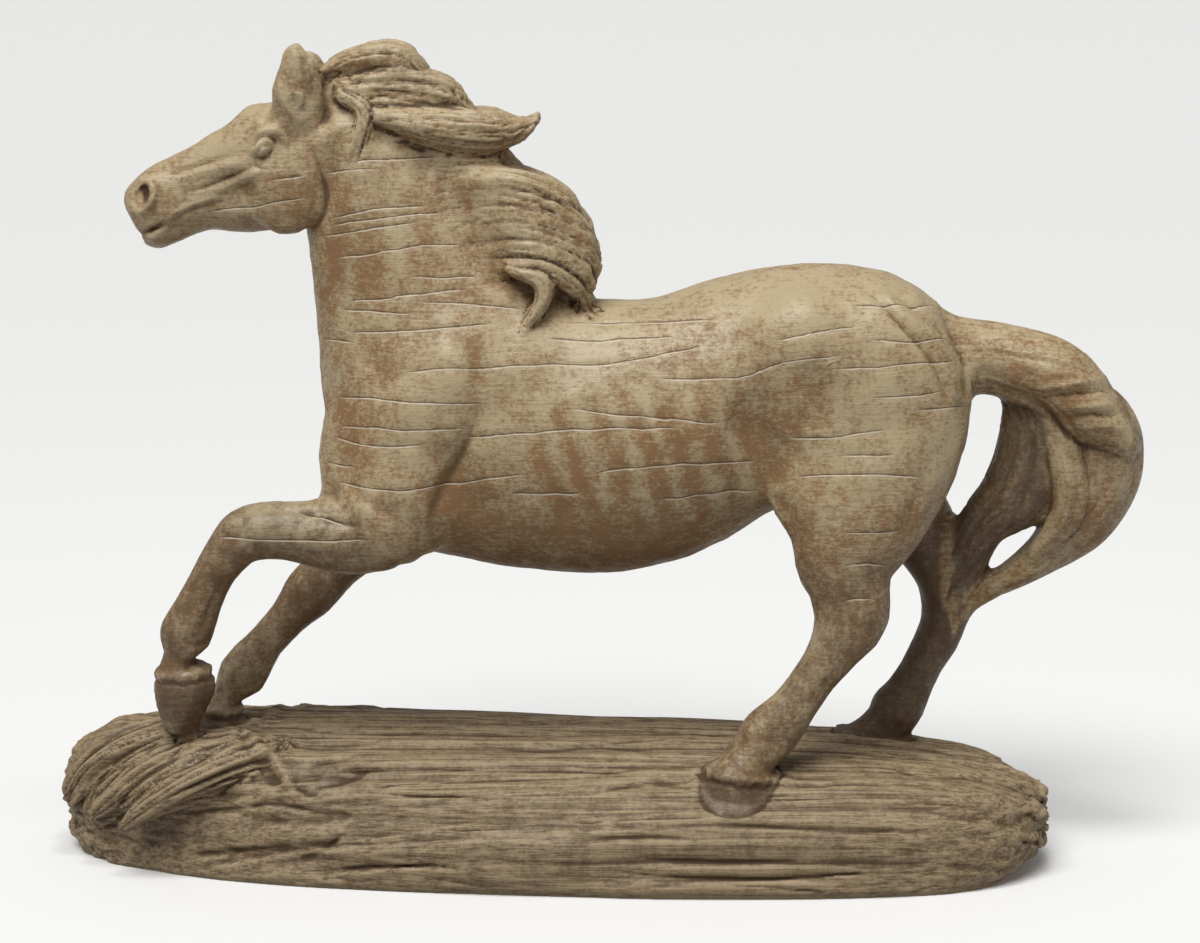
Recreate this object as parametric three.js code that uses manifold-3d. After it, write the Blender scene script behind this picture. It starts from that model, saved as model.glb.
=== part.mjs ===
// A galloping horse cast in one piece with the weathered half log it runs over.
// Millimetres, +Z up. The head points to -X, the left flank faces -Y, and z = 0 is the log's
// flat underside. The body is shaped as a field of distances to oval limbs, lumps and hollows,
// the surface where that field is zero is meshed, and the mesh is thinned to long facets.

import * as THREE from "three";
import ManifoldModule from "manifold-3d";

// Driving dimensions of the log
const LOG = {
  left: -203, // broken end under the forefeet
  right: 168, // broken end behind the hind feet
  middleY: -0.5,
  yaw: 0.06, // the log lies a little askew: its right end comes towards the viewer
  halfDepth: 56.5,
  crestLeft: 51, // height of the top under the forefeet
  crestRight: 43.2, // height of the top under the hind feet
  crestShiftY: 6, // the top lies a little to the far side
  tipHeight: 16, // both ends come to their tips above the ground
  undercut: 6, // how slowly the sides turn in below the tips
  planLeft: 1.7, // how square each end is from above
  planRight: 2.4,
  profileLeft: 4.2, // how square each end is from the side
  profileRight: 2.7,
  roundness: 2.3, // how square the cross section is
};
const FURROWS = { depth: 1.4, spacing: 22, sway: 4, swayLength: 230, ripple: 0.3, rippleLength: 107 };
const RAGGED_ENDS = { depth: 2, spacing: 23, slant: 0.6, from: 22, full: 6 };

// Twisted roots of grain that run from the forefeet down the log's left end
const ROOTS = {
  front: {
    top: [-114, -14, 44, 3, 6],
    high: [-130, -26, 39.5, 5, 8],
    low: [-148, -31, 31, 5, 8],
    end: [-167, -27, 17, 3, 6],
  },
  middle: {
    top: [-128, -10, 46, 3, 6],
    high: [-145, -17, 41.5, 5, 7],
    low: [-163, -18, 31, 5, 7],
    end: [-180, -14, 17, 3, 6],
  },
  back: {
    top: [-150, -1, 49, 3, 6],
    high: [-168, -4, 43, 5, 7],
    low: [-182, -4, 32, 5, 7],
    end: [-190, -2, 20, 3, 6],
  },
};

// Joints of the body. Each row is x, y, z, half size in the plane of the stride, half size across.
const TORSO = {
  breast: [-84, 0, 156, 24, 20],
  chest: [-76, 0, 155, 37, 26],
  shoulders: [-62, 0, 155, 43, 31],
  girth: [-28, 0, 152, 46.8, 34.5],
  barrel: [0, 0, 151, 48, 35.5],
  ribs: [21, 0, 154.3, 46, 35],
  flank: [42, 0, 162.6, 42, 33],
  loin: [56, 0, 167.5, 41.5, 32],
  croup: [75, 0, 169, 42.5, 33],
  haunch: [94, 0, 168, 41, 32],
  buttock: [110, 0, 165.5, 33.5, 27],
  seat: [120, 0, 164.5, 23, 19],
};
const NECK = {
  poll: [-91, 0, 256, 19, 14],
  throat: [-76.5, 0, 232, 27, 17],
  middle: [-67.2, 0, 211, 33.8, 20.5],
  lower: [-58.4, 0, 190, 41.4, 25],
  root: [-50, 0, 172, 45, 28],
};
const HEAD = {
  poll: [-99, 0, 256, 15.5, 12],
  brow: [-108.5, 0, 247.4, 21.7, 14.5],
  eyes: [-117, 0, 243, 20.3, 14],
  cheek: [-127.5, 0, 239.9, 18, 11.5],
  nose: [-138.5, 0, 237, 14.3, 9.5],
  nostrils: [-149, 0, 232.5, 13.5, 10],
  lips: [-156.6, 0, 228, 11.2, 9],
};
const EAR = {
  root: [-103.2, 8.5, 260, 8.4, 5],
  cup: [-102.6, 10, 270, 8.6, 5],
  upper: [-102.4, 10.5, 279, 6.6, 4.2],
  tip: [-104, 11, 285.4, 3, 2.4],
};
const NEAR_FORELEG = {
  shoulder: [-62, -17, 162, 21, 13],
  elbow: [-69, -20, 132.5, 21.5, 14],
  forearm: [-82, -21, 120.5, 14, 13],
  middle: [-95, -21, 120.5, 12.2, 11.5],
  narrow: [-110, -20.5, 121.5, 10, 10],
  knee: [-121.2, -19.5, 120, 9.6, 10],
  belowKnee: [-129, -19, 112.5, 7.8, 8],
  cannon: [-136, -18, 101, 7.2, 6.8],
  lowCannon: [-141.3, -17, 90.5, 8.2, 7],
  fetlock: [-144.6, -16, 83, 8.9, 7.8],
  pastern: [-146.6, -15.3, 76.3, 5.5, 6.2],
  coronet: [-147.4, -15, 69, 6.8, 6.8],
};
const NEAR_FORE_HOOF = {
  coronet: [-145.4, -15, 71.5, 8.2, 7.5],
  heel: [-145.2, -14.6, 66, 10.6, 9],
  wall: [-146.2, -14.2, 58.5, 8.8, 8.6],
  toe: [-146.6, -14, 49.5, 5.8, 6.8],
};
const FAR_FORELEG = {
  shoulder: [-66, 18, 150, 21, 13],
  elbow: [-77, 20, 124, 17, 13],
  forearm: [-88, 20, 108.5, 11.2, 12],
  aboveKnee: [-96, 19, 100, 9.4, 11],
  knee: [-103.5, 17, 92, 9.5, 9.8],
  belowKnee: [-112, 15.5, 82.5, 7, 8],
  cannon: [-120.5, 14, 73, 6.7, 6.6],
  fetlock: [-128.2, 12.3, 62.5, 8.4, 7.2],
  pastern: [-133.8, 11, 55, 5.2, 5.8],
  coronet: [-135, 10.5, 49.5, 5.6, 6.4],
};
const FAR_FORE_HOOF = {
  coronet: [-135.2, 10.5, 51, 6.2, 7.2],
  toe: [-135.6, 10, 43, 7.8, 8.6],
};
const NEAR_HINDLEG = {
  hip: [96, -14, 170, 30, 16],
  thigh: [97, -19, 152, 27.5, 17],
  stifle: [92, -22, 136, 25, 16],
  gaskin: [87, -23.5, 122, 21.8, 14],
  lowGaskin: [84.6, -24, 111, 17.6, 12],
  aboveHock: [86, -25, 101, 13.8, 10.5],
  hock: [86.2, -26, 92.5, 12.8, 9.6],
  belowHock: [81, -27.5, 82, 9.6, 8.4],
  cannon: [73.8, -29, 71.5, 7.5, 7.2],
  lowCannon: [66, -31, 61, 7.9, 7],
  fetlock: [58.5, -32, 52.5, 9.8, 8],
  pastern: [53, -33, 46, 8.6, 8],
  coronet: [48.5, -34, 39, 9.4, 9],
};
const NEAR_HIND_HOOF = {
  coronet: [47.6, -34, 40, 10.6, 10],
  toe: [46, -34.5, 25.5, 11.6, 11],
};
const FAR_HINDLEG = {
  hip: [98, 14, 168, 30, 16],
  thigh: [99, 19, 150, 26, 16.5],
  stifle: [103.5, 21, 131, 17, 15],
  gaskin: [114.5, 21, 114, 13.4, 13],
  aboveHock: [122.3, 21, 98, 9.4, 10.5],
  hock: [124.5, 21, 84, 8.8, 9.2],
  belowHock: [121, 21, 73, 7.7, 8],
  cannon: [116.3, 21, 64, 7.2, 7],
  lowCannon: [111.4, 20.5, 54.8, 7.8, 6.6],
  fetlock: [107, 20, 47.2, 9.6, 7.6],
  pastern: [101.5, 20, 42, 7, 7],
  coronet: [97, 19.7, 37, 8, 8],
};
const FAR_HIND_HOOF = {
  coronet: [96.5, 19.5, 38.5, 8.8, 9],
  toe: [95, 19, 31, 10.4, 11],
};

// Tail: a thick band rolling off the croup, a lobe hanging from it and a curtain inside the lobe
const TAIL_BAND = {
  dock: [118, 0, 182, 12, 10],
  root: [140, -1, 178, 13.3, 12],
  top: [159, -2, 171.5, 13.2, 15],
  turn: [170.8, -1, 159.6, 11, 15],
  edge: [184, 1, 148, 6, 12],
};
const TAIL_LOBE = {
  top: [167, 3, 167, 8, 11],
  outer: [176.5, 4, 153, 12.6, 13.5],
  widest: [178.3, 5, 138, 12.7, 13.5],
  lower: [170.5, 8, 121, 12, 12.5],
  narrow: [156.5, 12, 105.5, 7.2, 10.5],
  strand: [141.5, 16, 95, 4.4, 8],
  end: [131, 19, 86, 2.8, 6],
};
const TAIL_CURTAIN = {
  top: [147, 1, 169, 6, 9],
  upper: [152.5, 3, 150, 14, 10],
  middle: [147.5, 6, 131, 14, 10],
  narrow: [135.5, 11, 118, 9, 9],
  strand: [131, 16, 105, 8.6, 8.5],
  hockStrand: [127.5, 19, 94, 5.8, 8],
  end: [126.5, 21, 80, 2.4, 6],
};
const TAIL_RIDGE = {
  top: [153, -5, 161, 3, 4],
  upper: [161.5, -6.5, 145, 5, 5],
  lower: [163.5, -4.5, 125, 5.2, 5],
  end: [153, 4, 108.5, 3, 4],
};

// Mane: a core along the crest, the crown clump, the wing lock and the fan of locks below it
const MANE_CORE = {
  poll: [-95, 0, 268, 8.5, 8],
  crown: [-71, 0, 269, 13.5, 9],
  wing: [-54, 0, 257.6, 14, 11],
  upperFan: [-40, 0, 238, 15, 11.5],
  fan: [-24, 0, 222, 16, 13],
  withers: [-12, 0, 208, 10.5, 11],
};
const MANE_CREST = {
  poll: [-94.5, 4, 276.5, 2.6, 3.4],
  rise: [-84, 4.5, 281, 4.4, 4.4],
  peak: [-69, 4, 282, 5.6, 4.6],
  fall: [-59, 4, 274.4, 3.6, 4],
};
const MANE_CROWN = {
  root: [-88, 6, 271, 4, 4],
  middle: [-69.5, 5, 272, 8, 5.6],
  back: [-55, 4.5, 270.2, 7, 5.6],
  tip: [-46.4, 4, 266.6, 3, 3.4],
};
const MANE_WING = {
  root: [-78, 9.5, 263.5, 2.6, 3.6],
  swell: [-58, 9.5, 259.4, 6.4, 7],
  back: [-39, 8.5, 257.6, 7.8, 8],
  narrow: [-27.5, 7, 257.8, 4.2, 5],
  tip: [-21, 6, 262.4, 1.4, 2],
};
const MANE_HOOK = {
  root: [-31, 19.5, 211, 2.4, 3],
  bend: [-21.5, 20, 209, 3.6, 4.6],
  side: [-19, 20.5, 203, 3.4, 4.6],
  tip: [-26, 22.5, 191.5, 1.3, 2],
};
const MANE_CURL = {
  root: [-88, 9.5, 270, 2.4, 3],
  bend: [-80.8, 11.2, 266, 2.6, 3],
  side: [-79.8, 12.6, 260, 2.6, 3],
  tip: [-84, 13.8, 249, 1.6, 2],
};
const FAN = {
  locks: 6,
  rootTop: [-55, 7.5, 240],
  rootBottom: [-39, 12.5, 212],
  swellTop: [-32, 13, 241.5],
  swellBottom: [-21, 17.5, 213],
  backTop: [-14, 9, 234.5],
  backBottom: [-9, 14, 206],
  tipTop: [-7, 5, 227],
  tipBottom: [-4, 9.5, 199],
  bow: 5, // how far the middle locks reach past the straight line of tips
  thickness: 3.9,
  width: 5.4,
};

// Lumps: x, y, z and three half sizes, and a tilt about the sideways axis in degrees
const LUMPS = {
  breastMuscle: { at: [-83.5, 11, 141], half: [13.5, 12, 23], tilt: 4, fillet: 6 },
  shoulderBlade: { at: [-56, 22, 165], half: [13, 10, 28], tilt: -24, fillet: 8 },
  upperArm: { at: [-63, 24, 139], half: [16, 9, 13], tilt: 30, fillet: 7 },
  hip: { at: [68, 22, 186], half: [16, 11, 16], tilt: 0, fillet: 10 },
  croupMuscle: { at: [96, 18, 178], half: [22, 13, 24], tilt: 30, fillet: 9 },
  nearStifle: { at: [71, -23, 134], half: [12, 10, 15], tilt: 20, fillet: 7, single: true },
  farStifle: { at: [84, 23, 137], half: [12, 10, 15], tilt: 20, fillet: 7, single: true },
  cheek: { at: [-107, 9.5, 237.6], half: [14, 6, 15], tilt: 0, fillet: 3 },
  browBone: { at: [-113.5, 11, 256.5], half: [6.5, 4, 3], tilt: 25, fillet: 2.5 },
  eyeball: { at: [-114.6, 13.4, 251.6], half: [4, 3, 3.5], tilt: 0, fillet: 0.8 },
  nostrilWing: { at: [-154.5, 6, 236], half: [4.6, 4, 5.6], tilt: -20, fillet: 2.5 },
  chin: { at: [-152.6, 0, 221.6], half: [6.4, 6.5, 4.2], tilt: 0, fillet: 3 },
};
const HOLLOWS = {
  nostril: { at: [-156.4, 9.6, 235.8], half: [2.1, 3, 3.6], tilt: -20, fillet: 1 },
  elbowFold: { at: [-45, 37, 128], half: [7, 7, 22], tilt: 12, fillet: 8 },
  flankFold: { at: [53, 36, 148], half: [8, 8, 24], tilt: 10, fillet: 8 },
  temple: { at: [-120.5, 14.5, 256], half: [4, 3, 3], tilt: 20, fillet: 3 },
  cheekFront: { at: [-125, 13.6, 236], half: [7, 3.6, 7], tilt: 15, fillet: 4 },
  jawBack: { at: [-91.5, 18.5, 243], half: [3, 6, 19], tilt: -6, fillet: 4 },
};
const MOUTH = { front: [-164, 219], corner: [-142.5, 228], halfGap: 1, depth: 1.6 };
const FAR_EAR = { lean: 0.1, drop: 0.12 }; // laid further back than the near ear, so it ends lower
const EAR_CUP = {
  low: [-99.8, 15, 265, 2.8, 2.4],
  middle: [-99.2, 16.4, 272, 3.8, 3.2],
  high: [-100.4, 15.2, 281, 2.2, 2],
};

// How softly each form runs into the ones before it
const FILLETS = {
  neck: 14,
  foreleg: 7,
  hindleg: 8,
  head: 4,
  hoof: 1.5,
  maneCore: 5,
  lock: 1.6,
  fanLock: 1.4,
  tailBand: 4,
  tailSheet: 2.5,
  tailRidge: 3,
  ear: 2,
  earCup: 1,
  mouth: 0.5,
  root: 4,
  feet: 3,
};

// Meshing
const CELL = 2.4;
const BLOCK = 4;
const TRIANGLES = 9300;
const SPAN_STEPS = 4;
const DETAIL = [
  { below: { x: -88 }, above: { z: 212 }, weight: 7 }, // head
  { below: { x: 6 }, above: { z: 190 }, weight: 3 }, // mane
  { below: { z: 44 }, above: {}, weight: 0.5 }, // log
];
const STOCK = 4; // left under the log for the flat cut
const LOW = [-206, -64, -7]; // corners of the meshed space
const HIGH = [200, 66, 296];
const COLOUR = 0x8f7f60;

// Smaller of two distances, with the crease between them filled to a soft fillet
function blend(first, second, fillet) {
  const overlap = Math.max(fillet - Math.abs(first - second), 0) / fillet;
  return Math.min(first, second) - (overlap * overlap * fillet) / 4;
}

// First distance with the second one's inside carved away
function carve(first, second, fillet) {
  return -blend(-first, second, fillet);
}

function lengthOf(a, b, c) {
  return Math.sqrt(a * a + b * b + c * c);
}

// Distance to an oval of three half sizes, good near its surface
function ovalDistance(a, b, c, halfA, halfB, halfC) {
  const p = a / halfA;
  const q = b / halfB;
  const r = c / halfC;
  const reach = lengthOf(p, q, r);
  const slope = lengthOf(p / halfA, q / halfB, r / halfC);
  if (slope < 1e-9) return -Math.min(halfA, halfB, halfC);
  return (reach * (reach - 1)) / slope;
}

// The same joints on the other side of the body
function mirrored(joints) {
  const swapped = Object.entries(joints).map(([name, [x, y, ...rest]]) => [name, [x, -y, ...rest]]);
  return Object.fromEntries(swapped);
}

// The same joints laid back from the lowest one
function laidBack(joints, { lean, drop }) {
  const [[, , bottom]] = Object.values(joints);
  const moved = Object.entries(joints).map(([name, [x, y, z, ...rest]]) => {
    const height = z - bottom;
    return [name, [x + lean * height, y, z - drop * height, ...rest]];
  });
  return Object.fromEntries(moved);
}

// A limb: oval sections along a smooth line through its joints, rounded at both ends
function limb(joints, endRoundness = 0.5) {
  const rows = Object.values(joints);
  const line = new THREE.CatmullRomCurve3(rows.map(([x, y, z]) => new THREE.Vector3(x, y, z)));
  const sizes = rows.map(([, , , deep, wide]) => new THREE.Vector3(deep, wide, 0));
  const girth = new THREE.CatmullRomCurve3(sizes);
  const steps = (rows.length - 1) * SPAN_STEPS;
  const pieces = [];
  const box = new THREE.Box3();
  for (let i = 0; i < steps; i += 1) {
    const start = line.getPoint(i / steps);
    const end = line.getPoint((i + 1) / steps);
    const along = end.clone().sub(start);
    const length = along.length();
    along.normalize();
    const across = new THREE.Vector3(0, 1, 0).addScaledVector(along, -along.y).normalize();
    const upright = new THREE.Vector3().crossVectors(across, along);
    const from = girth.getPoint(i / steps);
    const to = girth.getPoint((i + 1) / steps);
    pieces.push({ start, along, across, upright, length, from, to });
    const widest = Math.max(from.x, from.y, to.x, to.y);
    box.expandByPoint(start.clone().addScalar(widest)).expandByPoint(start.clone().addScalar(-widest));
    box.expandByPoint(end.clone().addScalar(widest)).expandByPoint(end.clone().addScalar(-widest));
  }
  return boxed(box, (x, y, z) => {
    let nearest = Infinity;
    for (const { start, along, across, upright, length, from, to } of pieces) {
      const dx = x - start.x;
      const dy = y - start.y;
      const dz = z - start.z;
      const run = dx * along.x + dy * along.y + dz * along.z;
      const share = Math.min(Math.max(run / length, 0), 1);
      const past = run - share * length;
      const rise = dx * upright.x + dy * upright.y + dz * upright.z;
      const side = dx * across.x + dy * across.y + dz * across.z;
      const deep = from.x + (to.x - from.x) * share;
      const wide = from.y + (to.y - from.y) * share;
      const cap = endRoundness * Math.min(deep, wide);
      nearest = Math.min(nearest, ovalDistance(rise, side, past, deep, wide, cap));
    }
    return nearest;
  });
}

// A lump or hollow: one tilted oval
function oval({ at, half, tilt }) {
  const turn = THREE.MathUtils.degToRad(tilt);
  const cos = Math.cos(turn);
  const sin = Math.sin(turn);
  const widest = Math.max(...half);
  const centre = new THREE.Vector3(...at);
  const box = new THREE.Box3(centre.clone().subScalar(widest), centre.clone().addScalar(widest));
  return boxed(box, (x, y, z) => {
    const dx = x - at[0];
    const dz = z - at[2];
    return ovalDistance(dx * cos + dz * sin, y - at[1], dz * cos - dx * sin, ...half);
  });
}

// Far from its box a shape is only as near as the box is
const FAR = 16;
function boxed({ min, max }, distance) {
  return (x, y, z) => {
    const gapX = Math.max(min.x - x, x - max.x, 0);
    const gapY = Math.max(min.y - y, y - max.y, 0);
    const gapZ = Math.max(min.z - z, z - max.z, 0);
    const gap = lengthOf(gapX, gapY, gapZ);
    return gap > FAR ? gap : distance(x, y, z);
  };
}

// Point a share of the way between two points
function between(from, to, share) {
  return from.map((value, i) => value + (to[i] - value) * share);
}

// The locks of one side's fan, each sprung from the crest and swept back and down
function fanLocks(side) {
  const locks = [];
  for (let i = 0; i < FAN.locks; i += 1) {
    const share = i / (FAN.locks - 1);
    const bow = FAN.bow * Math.sin(Math.PI * share);
    const size = 1 + 0.14 * Math.cos(2.4 * i);
    const row = ([x, y, z], reach, thick, wide) => [x + reach, side * y, z, thick * size, wide];
    const { thickness, width } = FAN;
    locks.push(limb({
      root: row(between(FAN.rootTop, FAN.rootBottom, share), 0, thickness * 0.6, width * 0.6),
      swell: row(between(FAN.swellTop, FAN.swellBottom, share), 0, thickness, width),
      back: row(between(FAN.backTop, FAN.backBottom, share), bow, thickness, width),
      tip: row(between(FAN.tipTop, FAN.tipBottom, share), bow, thickness * 0.45, width * 0.5),
    }));
  }
  return locks;
}

// Both sides of a set of joints
function pair(joints) {
  return [limb(joints), limb(mirrored(joints))];
}

// Both sides of a lump, or one where it is single or sits on the middle
function ovalPair(shape) {
  const [x, y, z] = shape.at;
  const sides = shape.single || y === 0 ? [y] : [y, -y];
  return sides.map((side) => ({ distance: oval({ ...shape, at: [x, side, z] }), fillet: shape.fillet }));
}

const joined = [
  [limb(NECK), FILLETS.neck],
  [limb(NEAR_FORELEG), FILLETS.foreleg],
  [limb(FAR_FORELEG), FILLETS.foreleg],
  [limb(NEAR_HINDLEG), FILLETS.hindleg],
  [limb(FAR_HINDLEG), FILLETS.hindleg],
];
const hoofJoints = [NEAR_FORE_HOOF, FAR_FORE_HOOF, NEAR_HIND_HOOF, FAR_HIND_HOOF];
const hooves = hoofJoints.map((hoof) => limb(hoof, 0.25));
const locks = [MANE_CREST, MANE_CROWN, MANE_WING, MANE_CURL, MANE_HOOK].flatMap(pair);
const hair = [
  [limb(MANE_CORE), FILLETS.maneCore],
  ...locks.map((lock) => [lock, FILLETS.lock]),
  ...[1, -1].flatMap(fanLocks).map((lock) => [lock, FILLETS.fanLock]),
  [limb(TAIL_BAND), FILLETS.tailBand],
  [limb(TAIL_LOBE), FILLETS.tailSheet],
  [limb(TAIL_CURTAIN), FILLETS.tailSheet],
  [limb(TAIL_RIDGE), FILLETS.tailRidge],
];
const roots = Object.values(ROOTS).map((root) => limb(root));
const torso = limb(TORSO, 0.42);
const head = limb(HEAD, 0.5);
const ears = [limb(mirrored(EAR)), limb(laidBack(EAR, FAR_EAR))];
const earCups = [limb(mirrored(EAR_CUP)), limb(laidBack(EAR_CUP, FAR_EAR))];
const lumps = Object.values(LUMPS).flatMap(ovalPair);
const hollows = Object.values(HOLLOWS).flatMap(ovalPair);

// Line of the mouth, cut a little way into the lips from their front back to their corner
function mouthDistance(x, z, skin) {
  const [frontX, frontZ] = MOUTH.front;
  const [cornerX, cornerZ] = MOUTH.corner;
  const length = Math.sqrt((cornerX - frontX) ** 2 + (cornerZ - frontZ) ** 2);
  const run = ((x - frontX) * (cornerX - frontX) + (z - frontZ) * (cornerZ - frontZ)) / length;
  const rise = ((z - frontZ) * (cornerX - frontX) - (x - frontX) * (cornerZ - frontZ)) / length;
  return Math.max(Math.abs(rise) - MOUTH.halfGap, run - length, -run, -skin - MOUTH.depth);
}

// Distance to the horse alone
function horseDistance(x, y, z) {
  let distance = torso(x, y, z);
  for (const [shape, fillet] of joined) distance = blend(distance, shape(x, y, z), fillet);
  distance = blend(distance, head(x, y, z), FILLETS.head);
  for (const lump of lumps) distance = blend(distance, lump.distance(x, y, z), lump.fillet);
  for (const hollow of hollows) distance = carve(distance, hollow.distance(x, y, z), hollow.fillet);
  for (const hoof of hooves) distance = blend(distance, hoof(x, y, z), FILLETS.hoof);
  for (const [shape, fillet] of hair) distance = blend(distance, shape(x, y, z), fillet);
  for (const ear of ears) distance = blend(distance, ear(x, y, z), FILLETS.ear);
  for (const cup of earCups) distance = carve(distance, cup(x, y, z), FILLETS.earCup);
  return carve(distance, mouthDistance(x, z, distance), FILLETS.mouth);
}

// Level of the half log's form: one on its surface, seen from above, from the side and in section
function logLevel(x, y, z) {
  const middle = (LOG.left + LOG.right) / 2;
  const run = (x - middle) / ((LOG.right - LOG.left) / 2);
  const crest = LOG.crestLeft + ((LOG.crestRight - LOG.crestLeft) * (run + 1)) / 2;
  const axis = LOG.tipHeight * (0.35 + 0.65 * Math.min(run * run, 1));
  const upright = z > axis ? (z - axis) / (crest - axis) : (axis - z) / (axis + LOG.undercut);
  const lean = LOG.crestShiftY * Math.min(Math.max(z / crest, 0), 1);
  const sideways = Math.abs(y - LOG.middleY + LOG.yaw * x - lean) / LOG.halfDepth;
  const along = Math.abs(run);
  const plan = roundSum(along, sideways, run < 0 ? LOG.planLeft : LOG.planRight);
  const profile = roundSum(along, upright, run < 0 ? LOG.profileLeft : LOG.profileRight);
  const section = roundSum(sideways, upright, LOG.roundness);
  return roundSum(roundSum(plan, profile, 12), section, 12);
}

function roundSum(a, b, power) {
  return (a ** power + b ** power) ** (1 / power);
}

// Distance to the half log, with its long furrows and ragged ends
function logDistance(x, y, z) {
  const level = logLevel(x, y, z);
  const step = 0.5;
  const slopeX = (logLevel(x + step, y, z) - level) / step;
  const slopeY = (logLevel(x, y + step, z) - level) / step;
  const slopeZ = (logLevel(x, y, z + step) - level) / step;
  const smooth = (level - 1) / (lengthOf(slopeX, slopeY, slopeZ) + 1e-3);
  if (Math.abs(smooth) > FAR) return smooth;
  const turn = Math.atan2(z - LOG.tipHeight / 2, y - LOG.middleY) * LOG.halfDepth;
  const slow = Math.sin((2 * Math.PI * x) / FURROWS.swayLength);
  const quick = FURROWS.ripple * Math.sin((2 * Math.PI * x) / FURROWS.rippleLength);
  const sway = FURROWS.sway * (slow + quick);
  const wave = Math.cos((2 * Math.PI * (turn + sway)) / FURROWS.spacing);
  const furrow = FURROWS.depth * ((1 + wave) / 2) ** 2;
  const past = Math.max(x - LOG.right, LOG.left - x);
  const atEnd = THREE.MathUtils.smoothstep(past, -RAGGED_ENDS.from, -RAGGED_ENDS.full);
  const notch = (2 * Math.PI * (turn + RAGGED_ENDS.slant * z)) / RAGGED_ENDS.spacing;
  const ragged = RAGGED_ENDS.depth * Math.cos(notch);
  return smooth + furrow * (1 - atEnd) - ragged * atEnd;
}

function figureDistance(x, y, z) {
  let ground = logDistance(x, y, z);
  for (const root of roots) ground = blend(ground, root(x, y, z), FILLETS.root);
  return blend(horseDistance(x, y, z), ground, FILLETS.feet);
}

// Field values on a grid of cells. Blocks far from the surface keep one value for all their corners.
function sampleField(distance, low, high) {
  const counts = high.map((value, i) => Math.ceil((value - low[i]) / CELL / BLOCK) * BLOCK + 1);
  const [nx, ny, nz] = counts;
  const values = new Float32Array(nx * ny * nz);
  const at = (i, j, k) => i + nx * (j + ny * k);
  const reach = BLOCK * CELL * 1.9;
  for (let k = 0; k < nz; k += BLOCK) {
    for (let j = 0; j < ny; j += BLOCK) {
      for (let i = 0; i < nx; i += BLOCK) {
        const half = (BLOCK - 1) / 2;
        const centre = [i + half, j + half, k + half].map((index, axis) => low[axis] + index * CELL);
        const rough = distance(...centre);
        for (let c = k; c < Math.min(k + BLOCK, nz); c += 1) {
          for (let b = j; b < Math.min(j + BLOCK, ny); b += 1) {
            for (let a = i; a < Math.min(i + BLOCK, nx); a += 1) {
              const spot = [low[0] + a * CELL, low[1] + b * CELL, low[2] + c * CELL];
              const value = Math.abs(rough) < reach ? distance(...spot) : rough;
              values[at(a, b, c)] = value === 0 ? 1e-6 : value;
            }
          }
        }
      }
    }
  }
  return { values, counts, low };
}

// The zero surface, cut through six tetrahedra in every cell, which always closes
function surfaceOf({ values, counts, low }) {
  const [nx, ny, nz] = counts;
  const strides = [1, nx, nx * ny];
  const orders = [[0, 1, 2], [1, 2, 0], [2, 0, 1], [0, 2, 1], [2, 1, 0], [1, 0, 2]];
  const points = [];
  const triangles = [];
  const known = new Map();
  const place = (corner) => [corner % nx, Math.floor(corner / nx) % ny, Math.floor(corner / strides[2])];
  const crossing = (one, other) => {
    const lower = Math.min(one, other);
    const upper = Math.max(one, other);
    const key = lower * 8 * strides[2] + (upper - lower);
    if (!known.has(key)) {
      const share = values[lower] / (values[lower] - values[upper]);
      const kept = Math.min(Math.max(share, 0.04), 0.96);
      const from = place(lower);
      const to = place(upper);
      known.set(key, points.length / 3);
      from.forEach((index, axis) => points.push(low[axis] + CELL * (index + (to[axis] - index) * kept)));
    }
    return known.get(key);
  };
  const cut = (corners) => {
    const inside = corners.filter((corner) => values[corner] < 0);
    if (inside.length === 0 || inside.length === 4) return;
    const outside = corners.filter((corner) => values[corner] >= 0);
    const arranged = [...inside, ...outside];
    const ranks = arranged.map((corner) => corners.indexOf(corner));
    let swaps = 0;
    for (let i = 0; i < 4; i += 1) {
      for (let j = i + 1; j < 4; j += 1) swaps += ranks[i] > ranks[j] ? 1 : 0;
    }
    const ring = [];
    if (inside.length === 2) {
      ring.push([0, 2], [0, 3], [1, 3], [1, 2]);
    } else {
      const lone = inside.length === 1 ? 0 : 3;
      const rest = [0, 1, 2, 3].filter((rank) => rank !== lone);
      rest.forEach((rank) => ring.push([lone, rank]));
    }
    const loop = ring.map(([a, b]) => crossing(arranged[a], arranged[b]));
    if (swaps % 2 === 1) loop.reverse();
    for (let i = 2; i < loop.length; i += 1) triangles.push([loop[0], loop[i - 1], loop[i]]);
  };
  const steps = [1, nx, nx + 1, strides[2], strides[2] + 1, strides[2] + nx, strides[2] + nx + 1];
  const crossesCell = (corner) => steps.some((step) => values[corner] < 0 !== values[corner + step] < 0);
  for (let k = 0; k + 1 < nz; k += 1) {
    for (let j = 0; j + 1 < ny; j += 1) {
      for (let i = 0; i + 1 < nx; i += 1) {
        const corner = i + nx * (j + ny * k);
        if (!crossesCell(corner)) continue;
        const far = corner + strides[0] + strides[1] + strides[2];
        for (const [order, axes] of orders.entries()) {
          const second = corner + strides[axes[0]];
          const third = second + strides[axes[1]];
          cut(order < 3 ? [corner, second, third, far] : [second, corner, third, far]);
        }
      }
    }
  }
  return { points: Float64Array.from(points), triangles };
}

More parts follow.
